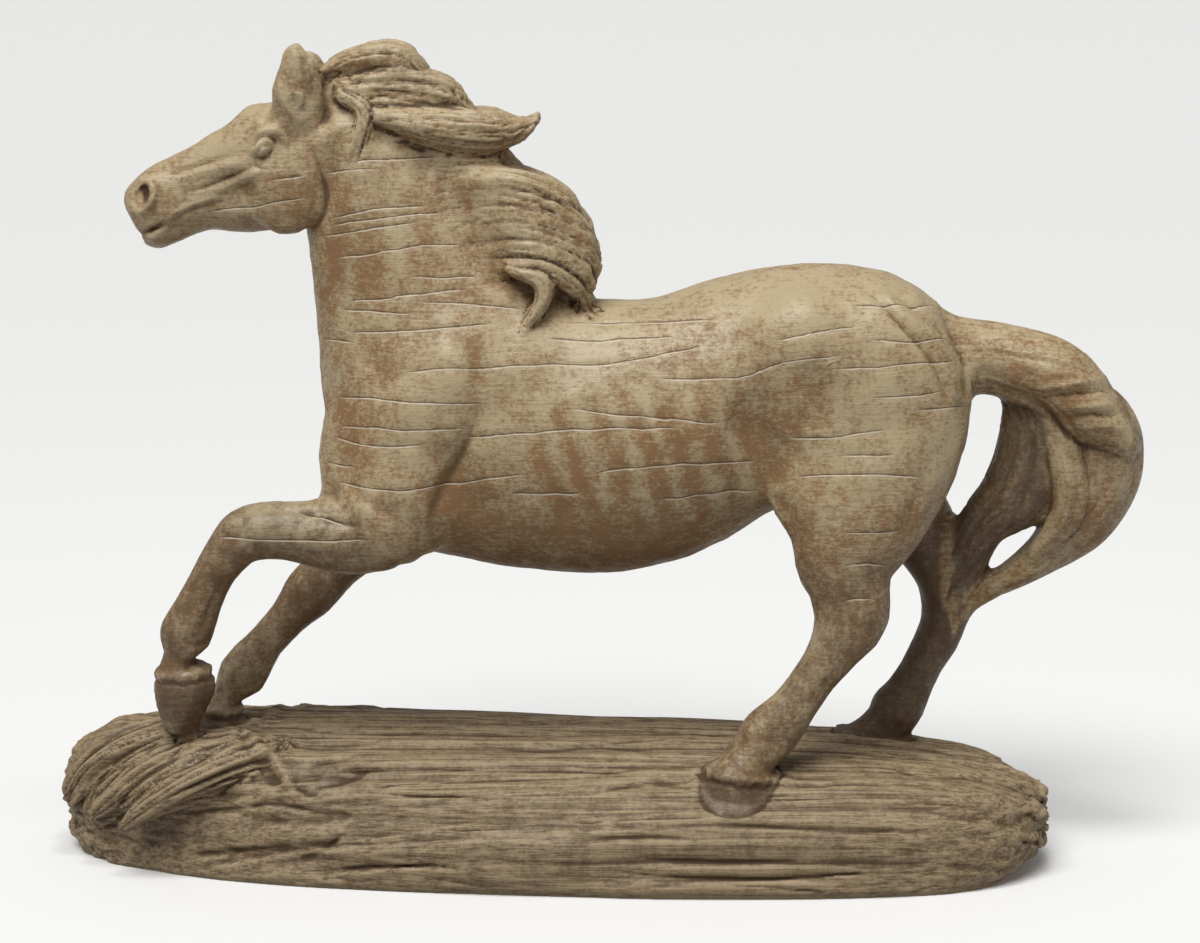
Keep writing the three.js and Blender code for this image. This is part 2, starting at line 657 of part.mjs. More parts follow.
// Edges waiting to be closed up, cheapest first
class EdgeQueue {
  constructor() {
    this.items = [];
  }

  push(item) {
    const { items } = this;
    let place = items.length;
    items.push(item);
    while (place > 0) {
      const parent = (place - 1) >> 1;
      if (items[parent].cost <= item.cost) break;
      items[place] = items[parent];
      place = parent;
    }
    items[place] = item;
  }

  pop() {
    const { items } = this;
    const first = items[0];
    const last = items.pop();
    if (items.length === 0) return first;
    let place = 0;
    for (;;) {
      let child = 2 * place + 1;
      if (child >= items.length) break;
      if (child + 1 < items.length && items[child + 1].cost < items[child].cost) child += 1;
      if (items[child].cost >= last.cost) break;
      items[place] = items[child];
      place = child;
    }
    items[place] = last;
    return first;
  }
}

// How much a place's small forms matter when the mesh is thinned
function detailAt(place) {
  const holds = ({ below, above }) => Object.entries(below).every(([axis, limit]) => place[axis] < limit)
    && Object.entries(above).every(([axis, limit]) => place[axis] > limit);
  const zone = DETAIL.find(holds);
  return zone ? zone.weight : 1;
}

// Thins a closed mesh: edges close up where that moves the surface least
class Thinner {
  constructor({ points, triangles }) {
    const count = points.length / 3;
    this.places = Array.from({ length: count }, (_, i) => new THREE.Vector3().fromArray(points, 3 * i));
    this.errors = Array.from({ length: count }, () => new Float64Array(10));
    this.rings = Array.from({ length: count }, () => new Set());
    this.versions = new Int32Array(count);
    this.triangles = triangles.map((corners) => [...corners]);
    this.left = triangles.length;
    this.queue = new EdgeQueue();
    this.triangles.forEach((corners, index) => {
      corners.forEach((corner) => this.rings[corner].add(index));
      this.addPlane(corners);
    });
    for (const [a, b, c] of this.triangles) {
      if (a < b) this.offer(a, b);
      if (b < c) this.offer(b, c);
      if (c < a) this.offer(c, a);
    }
  }

  normalOf(a, b, c) {
    const one = new THREE.Vector3().subVectors(b, a);
    const other = new THREE.Vector3().subVectors(c, a);
    return one.cross(other);
  }

  addPlane(corners) {
    const [a, b, c] = corners.map((corner) => this.places[corner]);
    const normal = this.normalOf(a, b, c);
    const weight = (detailAt(a) * normal.length()) / 2;
    normal.normalize();
    const plane = [normal.x, normal.y, normal.z, -normal.dot(a)];
    for (const corner of corners) {
      let slot = 0;
      for (let i = 0; i < 4; i += 1) {
        for (let j = i; j < 4; j += 1) {
          this.errors[corner][slot] += weight * plane[i] * plane[j];
          slot += 1;
        }
      }
    }
  }

  // Best single point for an edge, held a little towards the edge's middle
  bestPoint(a, b) {
    const error = this.errors[a].map((value, i) => value + this.errors[b][i]);
    const [xx, xy, xz, xd, yy, yz, yd, zz, zd, dd] = error;
    const middle = this.places[a].clone().add(this.places[b]).multiplyScalar(0.5);
    const hold = 0.004 * (xx + yy + zz) + 1e-9;
    const matrix = new THREE.Matrix3().set(xx + hold, xy, xz, xy, yy + hold, yz, xz, yz, zz + hold);
    const pull = new THREE.Vector3(hold * middle.x - xd, hold * middle.y - yd, hold * middle.z - zd);
    const point = pull.applyMatrix3(matrix.invert());
    const { x, y, z } = point;
    const squares = xx * x * x + yy * y * y + zz * z * z;
    const products = 2 * (xy * x * y + xz * x * z + yz * y * z + xd * x + yd * y + zd * z);
    const spread = 0.0008 * this.places[a].distanceToSquared(this.places[b]);
    return { point, cost: squares + products + dd + spread, error };
  }

  offer(a, b) {
    const stamp = this.versions[a] + this.versions[b];
    this.queue.push({ a, b, stamp, tries: 0, ...this.bestPoint(a, b) });
  }

  neighbours(corner) {
    const found = new Set();
    for (const index of this.rings[corner]) this.triangles[index].forEach((other) => found.add(other));
    found.delete(corner);
    return found;
  }

  // How far a triangle is from a sliver
  fullness(normal, [a, b, c]) {
    const sides = [a.distanceToSquared(b), b.distanceToSquared(c), c.distanceToSquared(a)];
    return normal.length() / Math.max(...sides);
  }

  // True when no triangle beside the edge turns over or becomes a sliver
  staysSound(corner, partner, point) {
    for (const index of this.rings[corner]) {
      const corners = this.triangles[index];
      if (corners.includes(partner)) continue;
      const before = corners.map((other) => this.places[other]);
      const after = corners.map((other) => (other === corner ? point : this.places[other]));
      const oldNormal = this.normalOf(...before);
      const newNormal = this.normalOf(...after);
      const newShape = this.fullness(newNormal, after);
      if (newShape < 0.04 && newShape < this.fullness(oldNormal, before)) return false;
      if (newNormal.dot(oldNormal) < 0.35 * newNormal.length() * oldNormal.length()) return false;
    }
    return true;
  }

  close({ a, b, point, error }) {
    for (const index of [...this.rings[b]]) {
      const corners = this.triangles[index];
      if (corners.includes(a)) {
        corners.forEach((corner) => this.rings[corner].delete(index));
        this.triangles[index] = null;
        this.left -= 1;
      } else {
        corners[corners.indexOf(b)] = a;
        this.rings[a].add(index);
      }
    }
    this.rings[b].clear();
    this.places[a].copy(point);
    this.errors[a] = error;
    this.versions[a] += 1;
    this.versions[b] = -1;
    for (const other of this.neighbours(a)) this.offer(a, other);
  }

  run(target) {
    while (this.left > target && this.queue.items.length > 0) {
      const edge = this.queue.pop();
      const { a, b, stamp, point } = edge;
      if (this.versions[a] < 0 || this.versions[b] < 0) continue;
      if (stamp !== this.versions[a] + this.versions[b]) continue;
      const besideB = this.neighbours(b);
      if (!besideB.has(a)) continue;
      const shared = [...this.neighbours(a)].filter((corner) => besideB.has(corner));
      const sound = shared.length === 2 && this.staysSound(a, b, point) && this.staysSound(b, a, point);
      const tries = edge.tries + 1;
      if (sound) this.close(edge);
      else if (tries < 10) this.queue.push({ ...edge, tries, cost: edge.cost * 3 + 0.001 });
    }
    return this;
  }

  geometry() {
    const order = new Map();
    const positions = [];
    const indices = [];
    for (const corners of this.triangles.filter(Boolean)) {
      for (const corner of corners) {
        if (!order.has(corner)) {
          order.set(corner, positions.length / 3);
          positions.push(...this.places[corner].toArray());
        }
        indices.push(order.get(corner));
      }
    }
    const geometry = new THREE.BufferGeometry();
    geometry.setAttribute("position", new THREE.Float32BufferAttribute(positions, 3));
    geometry.setIndex(indices);
    return geometry;
  }
}

// The whole figure, with a little stock under the log for the flat cut
const shape = (x, y, z) => Math.max(figureDistance(x, y, z), -STOCK - z);
const surface = surfaceOf(sampleField(shape, LOW, HIGH));
const thinned = new Thinner(surface).run(TRIANGLES).geometry();

const solids = await ManifoldModule();
solids.setup();

function solidOf(geometry) {
  const vertProperties = Float32Array.from(geometry.attributes.position.array);
  const triVerts = Uint32Array.from(geometry.index.array);
  const mesh = new solids.Mesh({ numProp: 3, vertProperties, triVerts });
  mesh.merge();
  return new solids.Manifold(mesh);
}

// Cut the underside flat
const floor = new THREE.BoxGeometry(500, 300, 40);
floor.translate(0, 0, -20);
floor.deleteAttribute("normal");
floor.deleteAttribute("uv");
const cast = solidOf(thinned).subtract(solidOf(floor)).getMesh();
const geometry = new THREE.BufferGeometry();
geometry.setAttribute("position", new THREE.Float32BufferAttribute(cast.vertProperties, 3));
geometry.setIndex([...cast.triVerts]);
geometry.computeVertexNormals();

const material = new THREE.MeshStandardMaterial({ color: COLOUR, roughness: 0.55, metalness: 0 });
const horse = new THREE.Mesh(geometry, material);
horse.name = "horse_figurine";

const figure = new THREE.Group();
figure.name = "horse_figurine_group";
figure.add(horse);

export default figure;
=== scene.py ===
# %% [markdown]
# # A galloping horse on a weathered log
# The figurine is one resin casting about 39 cm long. It was sculpted to look like wood: a horse
# with a wind-swept mane, cast together with the half log it runs over. A brown wash sits in the
# recesses, painted here darker still to stand for their shade, and a pale tan is dry-brushed over the
# high places.
#
# The imported solid gives the true form in long flat facets. This lesson rounds those facets,
# carves the hair, the face, the grain and the cracks into the rounded skin, and paints it.

import math

import bpy
import numpy as np
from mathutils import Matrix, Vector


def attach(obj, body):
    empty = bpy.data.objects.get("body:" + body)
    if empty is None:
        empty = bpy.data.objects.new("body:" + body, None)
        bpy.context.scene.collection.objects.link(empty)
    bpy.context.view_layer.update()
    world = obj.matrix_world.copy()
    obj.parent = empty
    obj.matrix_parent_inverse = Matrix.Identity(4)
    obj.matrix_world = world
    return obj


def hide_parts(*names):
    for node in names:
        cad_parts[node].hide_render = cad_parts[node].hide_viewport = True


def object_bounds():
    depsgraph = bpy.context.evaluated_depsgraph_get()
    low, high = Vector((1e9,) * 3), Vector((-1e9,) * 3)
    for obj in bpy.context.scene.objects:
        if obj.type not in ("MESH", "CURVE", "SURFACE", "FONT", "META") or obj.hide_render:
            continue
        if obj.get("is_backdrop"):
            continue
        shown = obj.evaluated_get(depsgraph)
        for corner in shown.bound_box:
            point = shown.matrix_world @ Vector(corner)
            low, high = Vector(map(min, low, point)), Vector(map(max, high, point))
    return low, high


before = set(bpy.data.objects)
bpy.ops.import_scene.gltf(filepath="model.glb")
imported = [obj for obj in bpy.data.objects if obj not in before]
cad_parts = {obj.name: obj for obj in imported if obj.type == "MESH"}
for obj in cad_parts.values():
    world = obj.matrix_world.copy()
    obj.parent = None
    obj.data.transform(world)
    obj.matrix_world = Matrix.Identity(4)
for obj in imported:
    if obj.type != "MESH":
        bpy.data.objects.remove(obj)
cad_low, cad_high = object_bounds()
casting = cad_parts["horse_figurine"]
METRE = 0.001  # one millimetre in metres; the carving below is worked out in millimetres
print("casting", len(casting.data.polygons), "facets", [round(v, 4) for v in cad_high - cad_low])

# %% [markdown]
# ## The camera
# The photograph looks slightly down on the horse's left side from about a metre away. A long
# lens at the same distance and pitch gives the same overlap of near and far legs. A shorter lens
# closer up would fill the picture too, but it would show more of the log's top.

# %% Place the camera
PITCH = math.radians(10)
DISTANCE = 1.05
AIM_HEIGHT = 0.1385

camera_data = bpy.data.cameras.new("photo_camera")
camera_data.lens = 90
camera_data.sensor_width = 36
camera = bpy.data.objects.new("photo_camera", camera_data)
camera.location = (0, -DISTANCE * math.cos(PITCH), AIM_HEIGHT + DISTANCE * math.sin(PITCH))
camera.rotation_euler = (math.pi / 2 - PITCH, 0, 0)
bpy.context.scene.collection.objects.link(camera)
bpy.context.scene.camera = camera
print("camera at", [round(v, 3) for v in camera.location])

# %% [markdown]
# ## Floor and light
# A wide pale disc stands for the white table, so that no edge of it shows. The light comes from
# a broad soft source nearly overhead, because the photograph has its highlights along the back
# and deep shade under the belly. A white floor would throw that light back up and flatten the
# legs, so the floor is left out of the indirect light. A faint even sky fills the shade.

# %% Lay the floor and hang the lights
FLOOR_RADIUS = 40
FLOOR_DROP = -0.0003  # just under the log, so the two faces don't fight

floor_mesh = bpy.data.meshes.new("floor")
rim = [(FLOOR_RADIUS * math.cos(a), FLOOR_RADIUS * math.sin(a), FLOOR_DROP)
       for a in np.linspace(0, 2 * math.pi, 64, endpoint=False)]
floor_mesh.from_pydata(rim, [], [list(range(len(rim)))])
floor = bpy.data.objects.new("floor", floor_mesh)
bpy.context.scene.collection.objects.link(floor)
floor_paint = bpy.data.materials.new("pale_floor")
floor_paint.use_nodes = True
floor_shader = floor_paint.node_tree.nodes["Principled BSDF"]
floor_shader.inputs["Base Color"].default_value = (0.86, 0.86, 0.85, 1)
floor_shader.inputs["Roughness"].default_value = 0.9
floor_mesh.materials.append(floor_paint)
floor.visible_diffuse = False
floor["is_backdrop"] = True


def hang(name, kind, place, aim, **settings):
    """A light of some kind at one place, turned to face another."""
    data = bpy.data.lights.new(name, kind)
    for setting, value in settings.items():
        setattr(data, setting, value)
    lamp = bpy.data.objects.new(name, data)
    lamp.location = place
    direction = np.subtract(aim, place)
    flat = math.hypot(direction[0], direction[1])
    lamp.rotation_euler = (math.atan2(flat, -direction[2]), 0,
                           math.atan2(direction[1], direction[0]) - math.pi / 2)
    bpy.context.scene.collection.objects.link(lamp)


MIDDLE = (0, 0, 0.15)
hang("soft_ceiling", "SUN", (-0.25, -0.6, 1.2), MIDDLE, energy=2.5, angle=math.radians(38))
hang("small_box", "AREA", (0.05, -0.3, 1.2), MIDDLE, energy=2.5, size=0.22)
SKY = 0.3
world = bpy.data.worlds.new("pale_room")
world.use_nodes = True
world.node_tree.nodes["Background"].inputs["Color"].default_value = (1, 1, 1, 1)
world.node_tree.nodes["Background"].inputs["Strength"].default_value = SKY
bpy.context.scene.world = world
bpy.context.scene.view_settings.view_transform = "Standard"
print("floor", FLOOR_RADIUS, "m, two lights and a faint sky")

# %% [markdown]
# ## Rounding the facets
# The casting has no flat facets. Smoothing the whole mesh would shrink its thin strands and
# ears. Here each triangle becomes a small curved patch instead: it keeps its three corners and
# bends so that it leaves each corner square to the normal there. So the skin runs through every
# corner of the solid and bulges only as far as the form does.

# %% Swell every facet
FACET_STEPS = 4  # each facet's side is cut into this many
GROUND = 0.05  # millimetres; corners lower than this lie on the flat underside


def corner_normals(points, faces):
    """The normal at each corner, every facet counting by its angle there."""
    total = np.zeros_like(points)
    for turn in range(3):
        here, after, before = (faces[:, (turn + k) % 3] for k in range(3))
        one = points[after] - points[here]
        two = points[before] - points[here]
        slope = np.cross(one, two)
        size = np.linalg.norm(slope, axis=1)
        angle = np.arctan2(size, np.einsum("ij,ij->i", one, two))
        slope *= (angle / np.maximum(size, 1e-9))[:, None]
        for axis in range(3):
            total[:, axis] += np.bincount(here, slope[:, axis], len(points))
    return total / np.maximum(np.linalg.norm(total, axis=1, keepdims=True), 1e-9)


def swell_facets(points, faces, steps):
    """A curved patch for each facet, as points and small triangles."""
    lying = (points[faces][:, :, 2] < GROUND).all(axis=1)
    normals = corner_normals(points, faces[~lying])
    corners = [points[faces[:, k]] for k in range(3)]
    leans = [np.where(lying[:, None], (0, 0, -1), normals[faces[:, k]]) for k in range(3)]

    def third(here, there):
        """The patch's handle a third of the way along a side."""
        run = corners[there] - corners[here]
        rise = np.einsum("ij,ij->i", run, leans[here])[:, None]
        return corners[here] + (run - rise * leans[here]) / 3

    handles = {(a, b): third(a, b) for a in range(3) for b in range(3) if a != b}
    edge_middle = sum(handles.values()) / 6
    flat_middle = sum(corners) / 3
    heart = edge_middle + (edge_middle - flat_middle) / 2
    grid = [(i, j) for i in range(steps + 1) for j in range(steps + 1 - i)]
    spot = {place: number for number, place in enumerate(grid)}
    rows = []
    for i, j in grid:
        share = ((steps - i - j) / steps, i / steps, j / steps)
        place = 6 * share[0] * share[1] * share[2] * heart
        for a in range(3):
            place = place + share[a] ** 3 * corners[a]
        for (a, b), handle in handles.items():
            place = place + 3 * share[a] ** 2 * share[b] * handle
        rows.append(place)
    patch = [(spot[i, j], spot[i + 1, j], spot[i, j + 1]) for i, j in grid if i + j < steps]
    patch += [(spot[i + 1, j], spot[i + 1, j + 1], spot[i, j + 1])
              for i, j in grid if i + j < steps - 1]
    count = len(faces)
    swollen = np.stack(rows, axis=1).reshape(-1, 3)
    first = np.arange(count)[:, None, None] * len(grid)
    return swollen, (first + np.array(patch)[None]).reshape(-1, 3)


facet_points = np.zeros(len(casting.data.vertices) * 3)
casting.data.vertices.foreach_get("co", facet_points)
facet_points = facet_points.reshape(-1, 3) / METRE
casting.data.calc_loop_triangles()
facets = np.zeros(len(casting.data.loop_triangles) * 3, dtype=np.int32)
casting.data.loop_triangles.foreach_get("vertices", facets)
facets = facets.reshape(-1, 3)
welded, same = np.unique(np.round(facet_points, 4), axis=0, return_inverse=True)
swollen_points, swollen_faces = swell_facets(welded, same.reshape(-1)[facets], FACET_STEPS)
print("swollen skin", len(swollen_faces), "triangles")

# %% [markdown]
# ## One even skin to carve
# Carving needs points of even spacing everywhere. A voxel remesh wraps the patches in a net of
# small squares, which also welds them into one closed skin. Three rounds of smoothing, each one
# pass in and one out, take off its faint steps without shrinking the form.

# %% Wrap the skin
NET_PITCH = 0.75  # millimetres between the points to carve


def make_object(name, points, faces):
    """A new mesh object from millimetre points."""
    mesh = bpy.data.meshes.new(name)
    mesh.from_pydata(points * METRE, [], faces)
    made = bpy.data.objects.new(name, mesh)
    bpy.context.scene.collection.objects.link(made)
    return made


def read_points(mesh):
    """A mesh's points in millimetres."""
    flat = np.zeros(len(mesh.vertices) * 3)
    mesh.vertices.foreach_get("co", flat)
    return flat.reshape(-1, 3) / METRE


figure = make_object("weathered_casting", swollen_points, swollen_faces)
bpy.context.view_layer.objects.active = figure
figure.select_set(True)
figure.data.remesh_voxel_size = NET_PITCH * METRE
bpy.ops.object.voxel_remesh()
skin = read_points(figure.data)
ends = np.zeros(len(figure.data.edges) * 2, dtype=np.int32)
figure.data.edges.foreach_get("vertices", ends)
ends = ends.reshape(-1, 2)
meeting = np.bincount(ends.ravel(), minlength=len(skin))


def neighbour_mean(values):
    """The mean of each point's neighbours, for one number or several a point."""
    if values.ndim > 1:
        return np.stack([neighbour_mean(column) for column in values.T], axis=1)
    total = np.bincount(ends[:, 0], values[ends[:, 1]], len(values))
    total += np.bincount(ends[:, 1], values[ends[:, 0]], len(values))
    return total / meeting


def settle(values, passes, share=0.5):
    """Values moved towards their neighbours' mean, a number of times."""
    for _ in range(passes):
        values = values + share * (neighbour_mean(values) - values)
    return values


SMOOTHING_ROUNDS = 3
PASS_IN = 0.6
PASS_OUT = -0.62
for _ in range(SMOOTHING_ROUNDS):
    skin = settle(skin, 1, PASS_IN)
    skin = settle(skin, 1, PASS_OUT)


def skin_normals(points):
    """The outward normal at each point of the net, from its square faces' diagonals."""
    corners = np.zeros(len(figure.data.loops), dtype=np.int32)
    figure.data.loops.foreach_get("vertex_index", corners)
    corners = corners.reshape(-1, 4)
    slope = np.cross(points[corners[:, 2]] - points[corners[:, 0]],
                     points[corners[:, 3]] - points[corners[:, 1]])
    total = np.zeros_like(points)
    for corner in corners.T:
        for axis in range(3):
            total[:, axis] += np.bincount(corner, slope[:, axis], len(points))
    return total / np.maximum(np.linalg.norm(total, axis=1, keepdims=True), 1e-9)


out = skin_normals(skin)
x, y, z = skin.T
print("net of", len(skin), "points")

# %% [markdown]
# ## Noise to carve with
# Grain, hair and worn skin all need the same thing: a smooth random height that can be stretched
# along one direction. Lattice noise gives that. Its absolute value makes the round strands with
# sharp valleys between them that a carver's gouge leaves.

# %% Lattice noise
def lattice_noise(places, seed):
    """Smooth noise of about -1 to 1 at each place, the same on every run."""
    random = np.random.default_rng(seed)
    slopes = random.normal(size=(256, 3))
    slopes /= np.linalg.norm(slopes, axis=1, keepdims=True)
    order = random.permutation(256)
    cell = np.floor(places).astype(int)
    part = places - cell
    ease = part**3 * (part * (part * 6 - 15) + 10)
    total = np.zeros(len(places))
    for step in np.ndindex(2, 2, 2):
        index = order[(cell[:, 0] + step[0]) & 255]
        index = order[(index + cell[:, 1] + step[1]) & 255]
        index = order[(index + cell[:, 2] + step[2]) & 255]
        weight = np.prod(np.where(step, ease, 1 - ease), axis=1)
        total += weight * np.einsum("ij,ij->i", slopes[index], part - step)
    return total * 1.7


def stretched(places, sizes, seed):
    """Noise whose bumps have the given sizes along the three directions."""
    return lattice_noise(places / np.array(sizes) + 91.7, seed)


def gouged(places, sizes, seed):
    """Round strands from 0 in their sharp valleys to about 1 on their crests."""
    return np.clip(np.abs(stretched(places, sizes, seed)) * 2.2, 0, 1.2)


def soft_step(value, low, high):
    """0 below low, 1 above high, with an easy curve between; low may be the larger."""
    share = np.clip((value - low) / (high - low), 0, 1)
    return share * share * (3 - 2 * share)


lift = np.zeros(len(skin))  # how far each point is carved in or built out, in millimetres
print("noise ready")

# %% [markdown]
# ## Drawing on the figure from the side
# Many details are easiest to place where the photograph shows them. Each point is projected
# through the camera above, which gives its column and row in the 1200 by 943 picture. The far
# side is drawn as a mirror of the near side. A stroke is a smooth curve in that picture, and a
# point near it learns how far off it is and how far along.

# %% Project the points and follow strokes
PICTURE = (1200, 943)
FOCAL = PICTURE[0] * camera_data.lens / camera_data.sensor_width
SIDE_SCALE = 0.343  # millimetres to a picture column at the horse's flank


def seen_at(points):
    """The picture's column and row of each point."""
    from_camera = points - np.array(camera.location) / METRE
    deep = from_camera[:, 1] * math.cos(PITCH) - from_camera[:, 2] * math.sin(PITCH)
    high = from_camera[:, 1] * math.sin(PITCH) + from_camera[:, 2] * math.cos(PITCH)
    return np.stack([PICTURE[0] / 2 + FOCAL * from_camera[:, 0] / deep,
                     PICTURE[1] / 2 - FOCAL * high / deep], axis=1)


JOINT_STEPS = 14  # samples between two joints of a curve


def curve_through(joints):
    """Samples on a smooth curve through the joints, whose rows may hold any numbers."""
    rows = np.array(joints, dtype=float)
    rows = np.vstack([2 * rows[0] - rows[1], rows, 2 * rows[-1] - rows[-2]])
    made = []
    for before, start, finish, after in zip(rows, rows[1:], rows[2:], rows[3:]):
        for t in np.linspace(0, 1, JOINT_STEPS, endpoint=False):
            made.append(0.5 * (2 * start + (finish - before) * t
                               + (2 * before - 5 * start + 4 * finish - after) * t**2
                               + (3 * start - before - 3 * finish + after) * t**3))
    made.append(rows[-2])
    return np.array(made)


def near_stroke(seen, stroke, reach):
    """Points within reach of a stroke, their distance from it, and their share along it."""
    samples = curve_through(stroke)
    low, high = samples.min(axis=0) - reach, samples.max(axis=0) + reach
    near = np.flatnonzero(((seen > low) & (seen < high)).all(axis=1))
    gap = np.full(len(near), 1e9)
    spot = np.zeros(len(near))
    for number, (start, finish) in enumerate(zip(samples, samples[1:])):
        run = finish - start
        away = seen[near] - start
        share = np.clip(away @ run / (run @ run), 0, 1)
        distance = np.hypot(*(away - share[:, None] * run).T)
        closer = distance < gap
        gap[closer] = distance[closer]
        spot[closer] = number + share[closer]
    return near, gap, spot / (len(samples) - 1)


side_seen = seen_at(skin * (1, 0, 1) - np.abs(y)[:, None] * (0, 1, 0))
print("columns", side_seen[:, 0].min().round(), "to", side_seen[:, 0].max().round())

# %% [markdown]
# ## Which part is log and which is horse
# One casting has no seam, so the two are told apart by place: everything low down is log, apart
# from the four feet that grow out of it. Each foot is a short chain of balls from the fetlock to
# the toe, and a point inside a chain's reach belongs to the horse.

# %% Tell log from horse
FEET = {
    "near_fore": [(-146.6, -15.3, 76.3, 8), (-145.2, -14.6, 66, 10.8), (-146.4, -14, 54, 9)],
    "far_fore": [(-128.2, 12.3, 62.5, 10), (-133.8, 11, 55, 8.5), (-135.4, 10.2, 47, 9.5)],
    "near_hind": [(66, -31, 61, 11.5), (58.5, -32, 52.5, 11.5), (50.5, -33.5, 43, 11.5),
                  (46.3, -34.3, 30, 13)],
    "far_hind": [(116.3, 21, 64, 11), (107, 20, 47.2, 11), (101, 20, 41.5, 9.5),
                 (95.5, 19.2, 33.5, 12)],
}
LOG_TOP = 58


def chain_reach(points, balls):
    """How far each point is from a chain of balls, as a share of the ball size there."""
    nearest = np.full(len(points), 9.0)
    for first, last in zip(balls, balls[1:]):
        start, finish = np.array(first), np.array(last)
        run = finish - start
        share = np.clip((points - start[:3]) @ run[:3] / (run[:3] @ run[:3]), 0, 1)
        middle = start + share[:, None] * run
        gap = np.linalg.norm(points - middle[:, :3], axis=1) / middle[:, 3]
        nearest = np.minimum(nearest, gap)
    return nearest


foot_gap = np.min([chain_reach(skin, balls) for balls in FEET.values()], axis=0)
log_share = soft_step(z, LOG_TOP + 2, LOG_TOP) * soft_step(foot_gap, 1.0, 1.12)
horse_share = 1 - log_share
underside = soft_step(z, 2.5, 0.8)
print("log takes", round(float(log_share.mean()), 2), "of the points")

# %% [markdown]
# ## The log's grain
# The log is cast from old split wood: low rolls, fine fibres almost as straight as ruled lines,
# a few long cracks, and ends broken into ledges. Noise stretched to more than the log's own
# length gives lines that don't close into rings. The cracks are thin cuts that open and shut
# along their length.

# %% Carve the log
def wander(points, amount, size, seed):
    """Points pushed aside slowly, so that straight grain runs in easy waves."""
    moved = points.copy()
    moved[:, 1] += amount * stretched(points, size, seed)
    moved[:, 2] += amount * stretched(points, size, seed + 1)
    return moved


def incised(places, sizes, width, seed):
    """Thin cut lines: 1 in the bottom of a cut and 0 on the wood between."""
    return soft_step(np.abs(stretched(places, sizes, seed)), width, 0)


on_log = np.flatnonzero(log_share > 0.001)
wood = wander(skin[on_log], 3, (190, 45, 45), 11)
GRAIN = {  # height in millimetres, sizes along, across and up, and the noise's seed
    "rolls": (0.7, (260, 17, 13), 21),
    "strands": (0.55, (420, 4.6, 4), 22),
    "fibres": (0.6, (300, 2.4, 2.2), 23),
}
carving = sum(height * stretched(wood, sizes, seed) for height, sizes, seed in GRAIN.values())

end_facing = np.abs(out[on_log, 0])
level_side = soft_step(end_facing, 0.3, 0.12)
SPLITS = {  # depth, then where they open, then the lines' sizes and width, each with its seed
    "long": (1.4, (65, 16, 16), 24, (0.02, 0.3), (700, 15, 13), 0.05, 25),
    "short": (0.9, (45, 9, 9), 26, (-0.05, 0.25), (500, 6.5, 5.5), 0.1, 27),
}
for depth, patch, patch_seed, opening, sizes, width, seed in SPLITS.values():
    opened = level_side * soft_step(stretched(wood, patch, patch_seed), *opening)
    carving -= depth * opened * incised(wood, sizes, width, seed)

RIGHT_BREAK = (136, 156)  # the log's right end is broken from the first to the second, in millimetres
broken = np.maximum(soft_step(end_facing, 0.4, 0.8), soft_step(skin[on_log, 0], *RIGHT_BREAK))
ledges = np.round(2 * stretched(wood, (26, 14, 9), 28)) / 2
carving += broken * (2.4 * ledges + 0.7 * stretched(wood, (18, 5, 3), 29))
lift[on_log] += carving * (log_share * (1 - underside))[on_log]
print("log carved", round(float(carving.min()), 2), "to", round(float(carving.max()), 2), "mm")

# %% [markdown]
# ## Locks of hair and ropes of root
# The mane, the tail and the twisted roots are all long locks. Each is a curve with a size, and
# the strands run along it. So every point near a lock is measured in that lock's own directions:
# how far along it is, and how far to the side and above its middle. Noise stretched along the
# lock then bends with it, which plain noise could not do.

# %% Curves through the locks
def straighten(points, joints, reach):
    """Which points lie near a lock, their places along and across it, and how far out they are."""
    samples = curve_through(joints)
    middle = samples[:, :3]
    half = np.maximum(samples[:, 3:], 1.5)
    low = (middle - reach * half.max(axis=1)[:, None]).min(axis=0)
    high = (middle + reach * half.max(axis=1)[:, None]).max(axis=0)
    near = np.flatnonzero(((points > low) & (points < high)).all(axis=1))
    ahead = np.gradient(middle, axis=0)
    ahead /= np.linalg.norm(ahead, axis=1, keepdims=True)
    aside = np.array((0, 1, 0)) - ahead * ahead[:, 1:2]
    aside /= np.linalg.norm(aside, axis=1, keepdims=True)
    above = np.cross(ahead, aside)
    travelled = np.concatenate([[0], np.cumsum(np.linalg.norm(np.diff(middle, axis=0), axis=1))])
    spot = np.zeros(len(near), dtype=int)
    best = np.full(len(near), 1e9)
    for number, place in enumerate(middle):
        gap = ((points[near] - place) ** 2).sum(axis=1)
        closer = gap < best
        best[closer] = gap[closer]
        spot[closer] = number
    away = points[near] - middle[spot]
    parts = [np.einsum("ij,ij->i", away, side[spot]) for side in (ahead, above, aside)]
    along = np.stack([travelled[spot] + parts[0], parts[1], parts[2]], axis=1)
    past = np.maximum(np.abs(parts[0]) - 2, 0)
    out_by = np.sqrt((parts[1] / half[spot, 0]) ** 2 + (parts[2] / half[spot, 1]) ** 2)
    return near, along, out_by + past / half[spot, 0]


LOCK_APART = 57  # millimetres between two locks' places in the noise, so that no two look alike


def follow_locks(points, locks, reach=2.2):
    """Each point's place in its nearest lock, how far out it is there, and the crease beside it."""
    first = np.full(len(points), 9.0)
    second = np.full(len(points), 9.0)
    place = np.zeros((len(points), 3))
    for number, joints in enumerate(locks):
        near, along, out_by = straighten(points, joints, reach)
        closer = out_by < first[near]
        second[near] = np.where(closer, first[near], np.minimum(second[near], out_by))
        first[near[closer]] = out_by[closer]
        place[near[closer]] = along[closer] + number * LOCK_APART
    return place, first, second - first


def both_sides(joints):
    """A lock on the near side and its mirror on the far side."""
    rows = np.array(joints, dtype=float)
    return [rows * (1, -1, 1, 1, 1), rows]


print("locks can be followed")

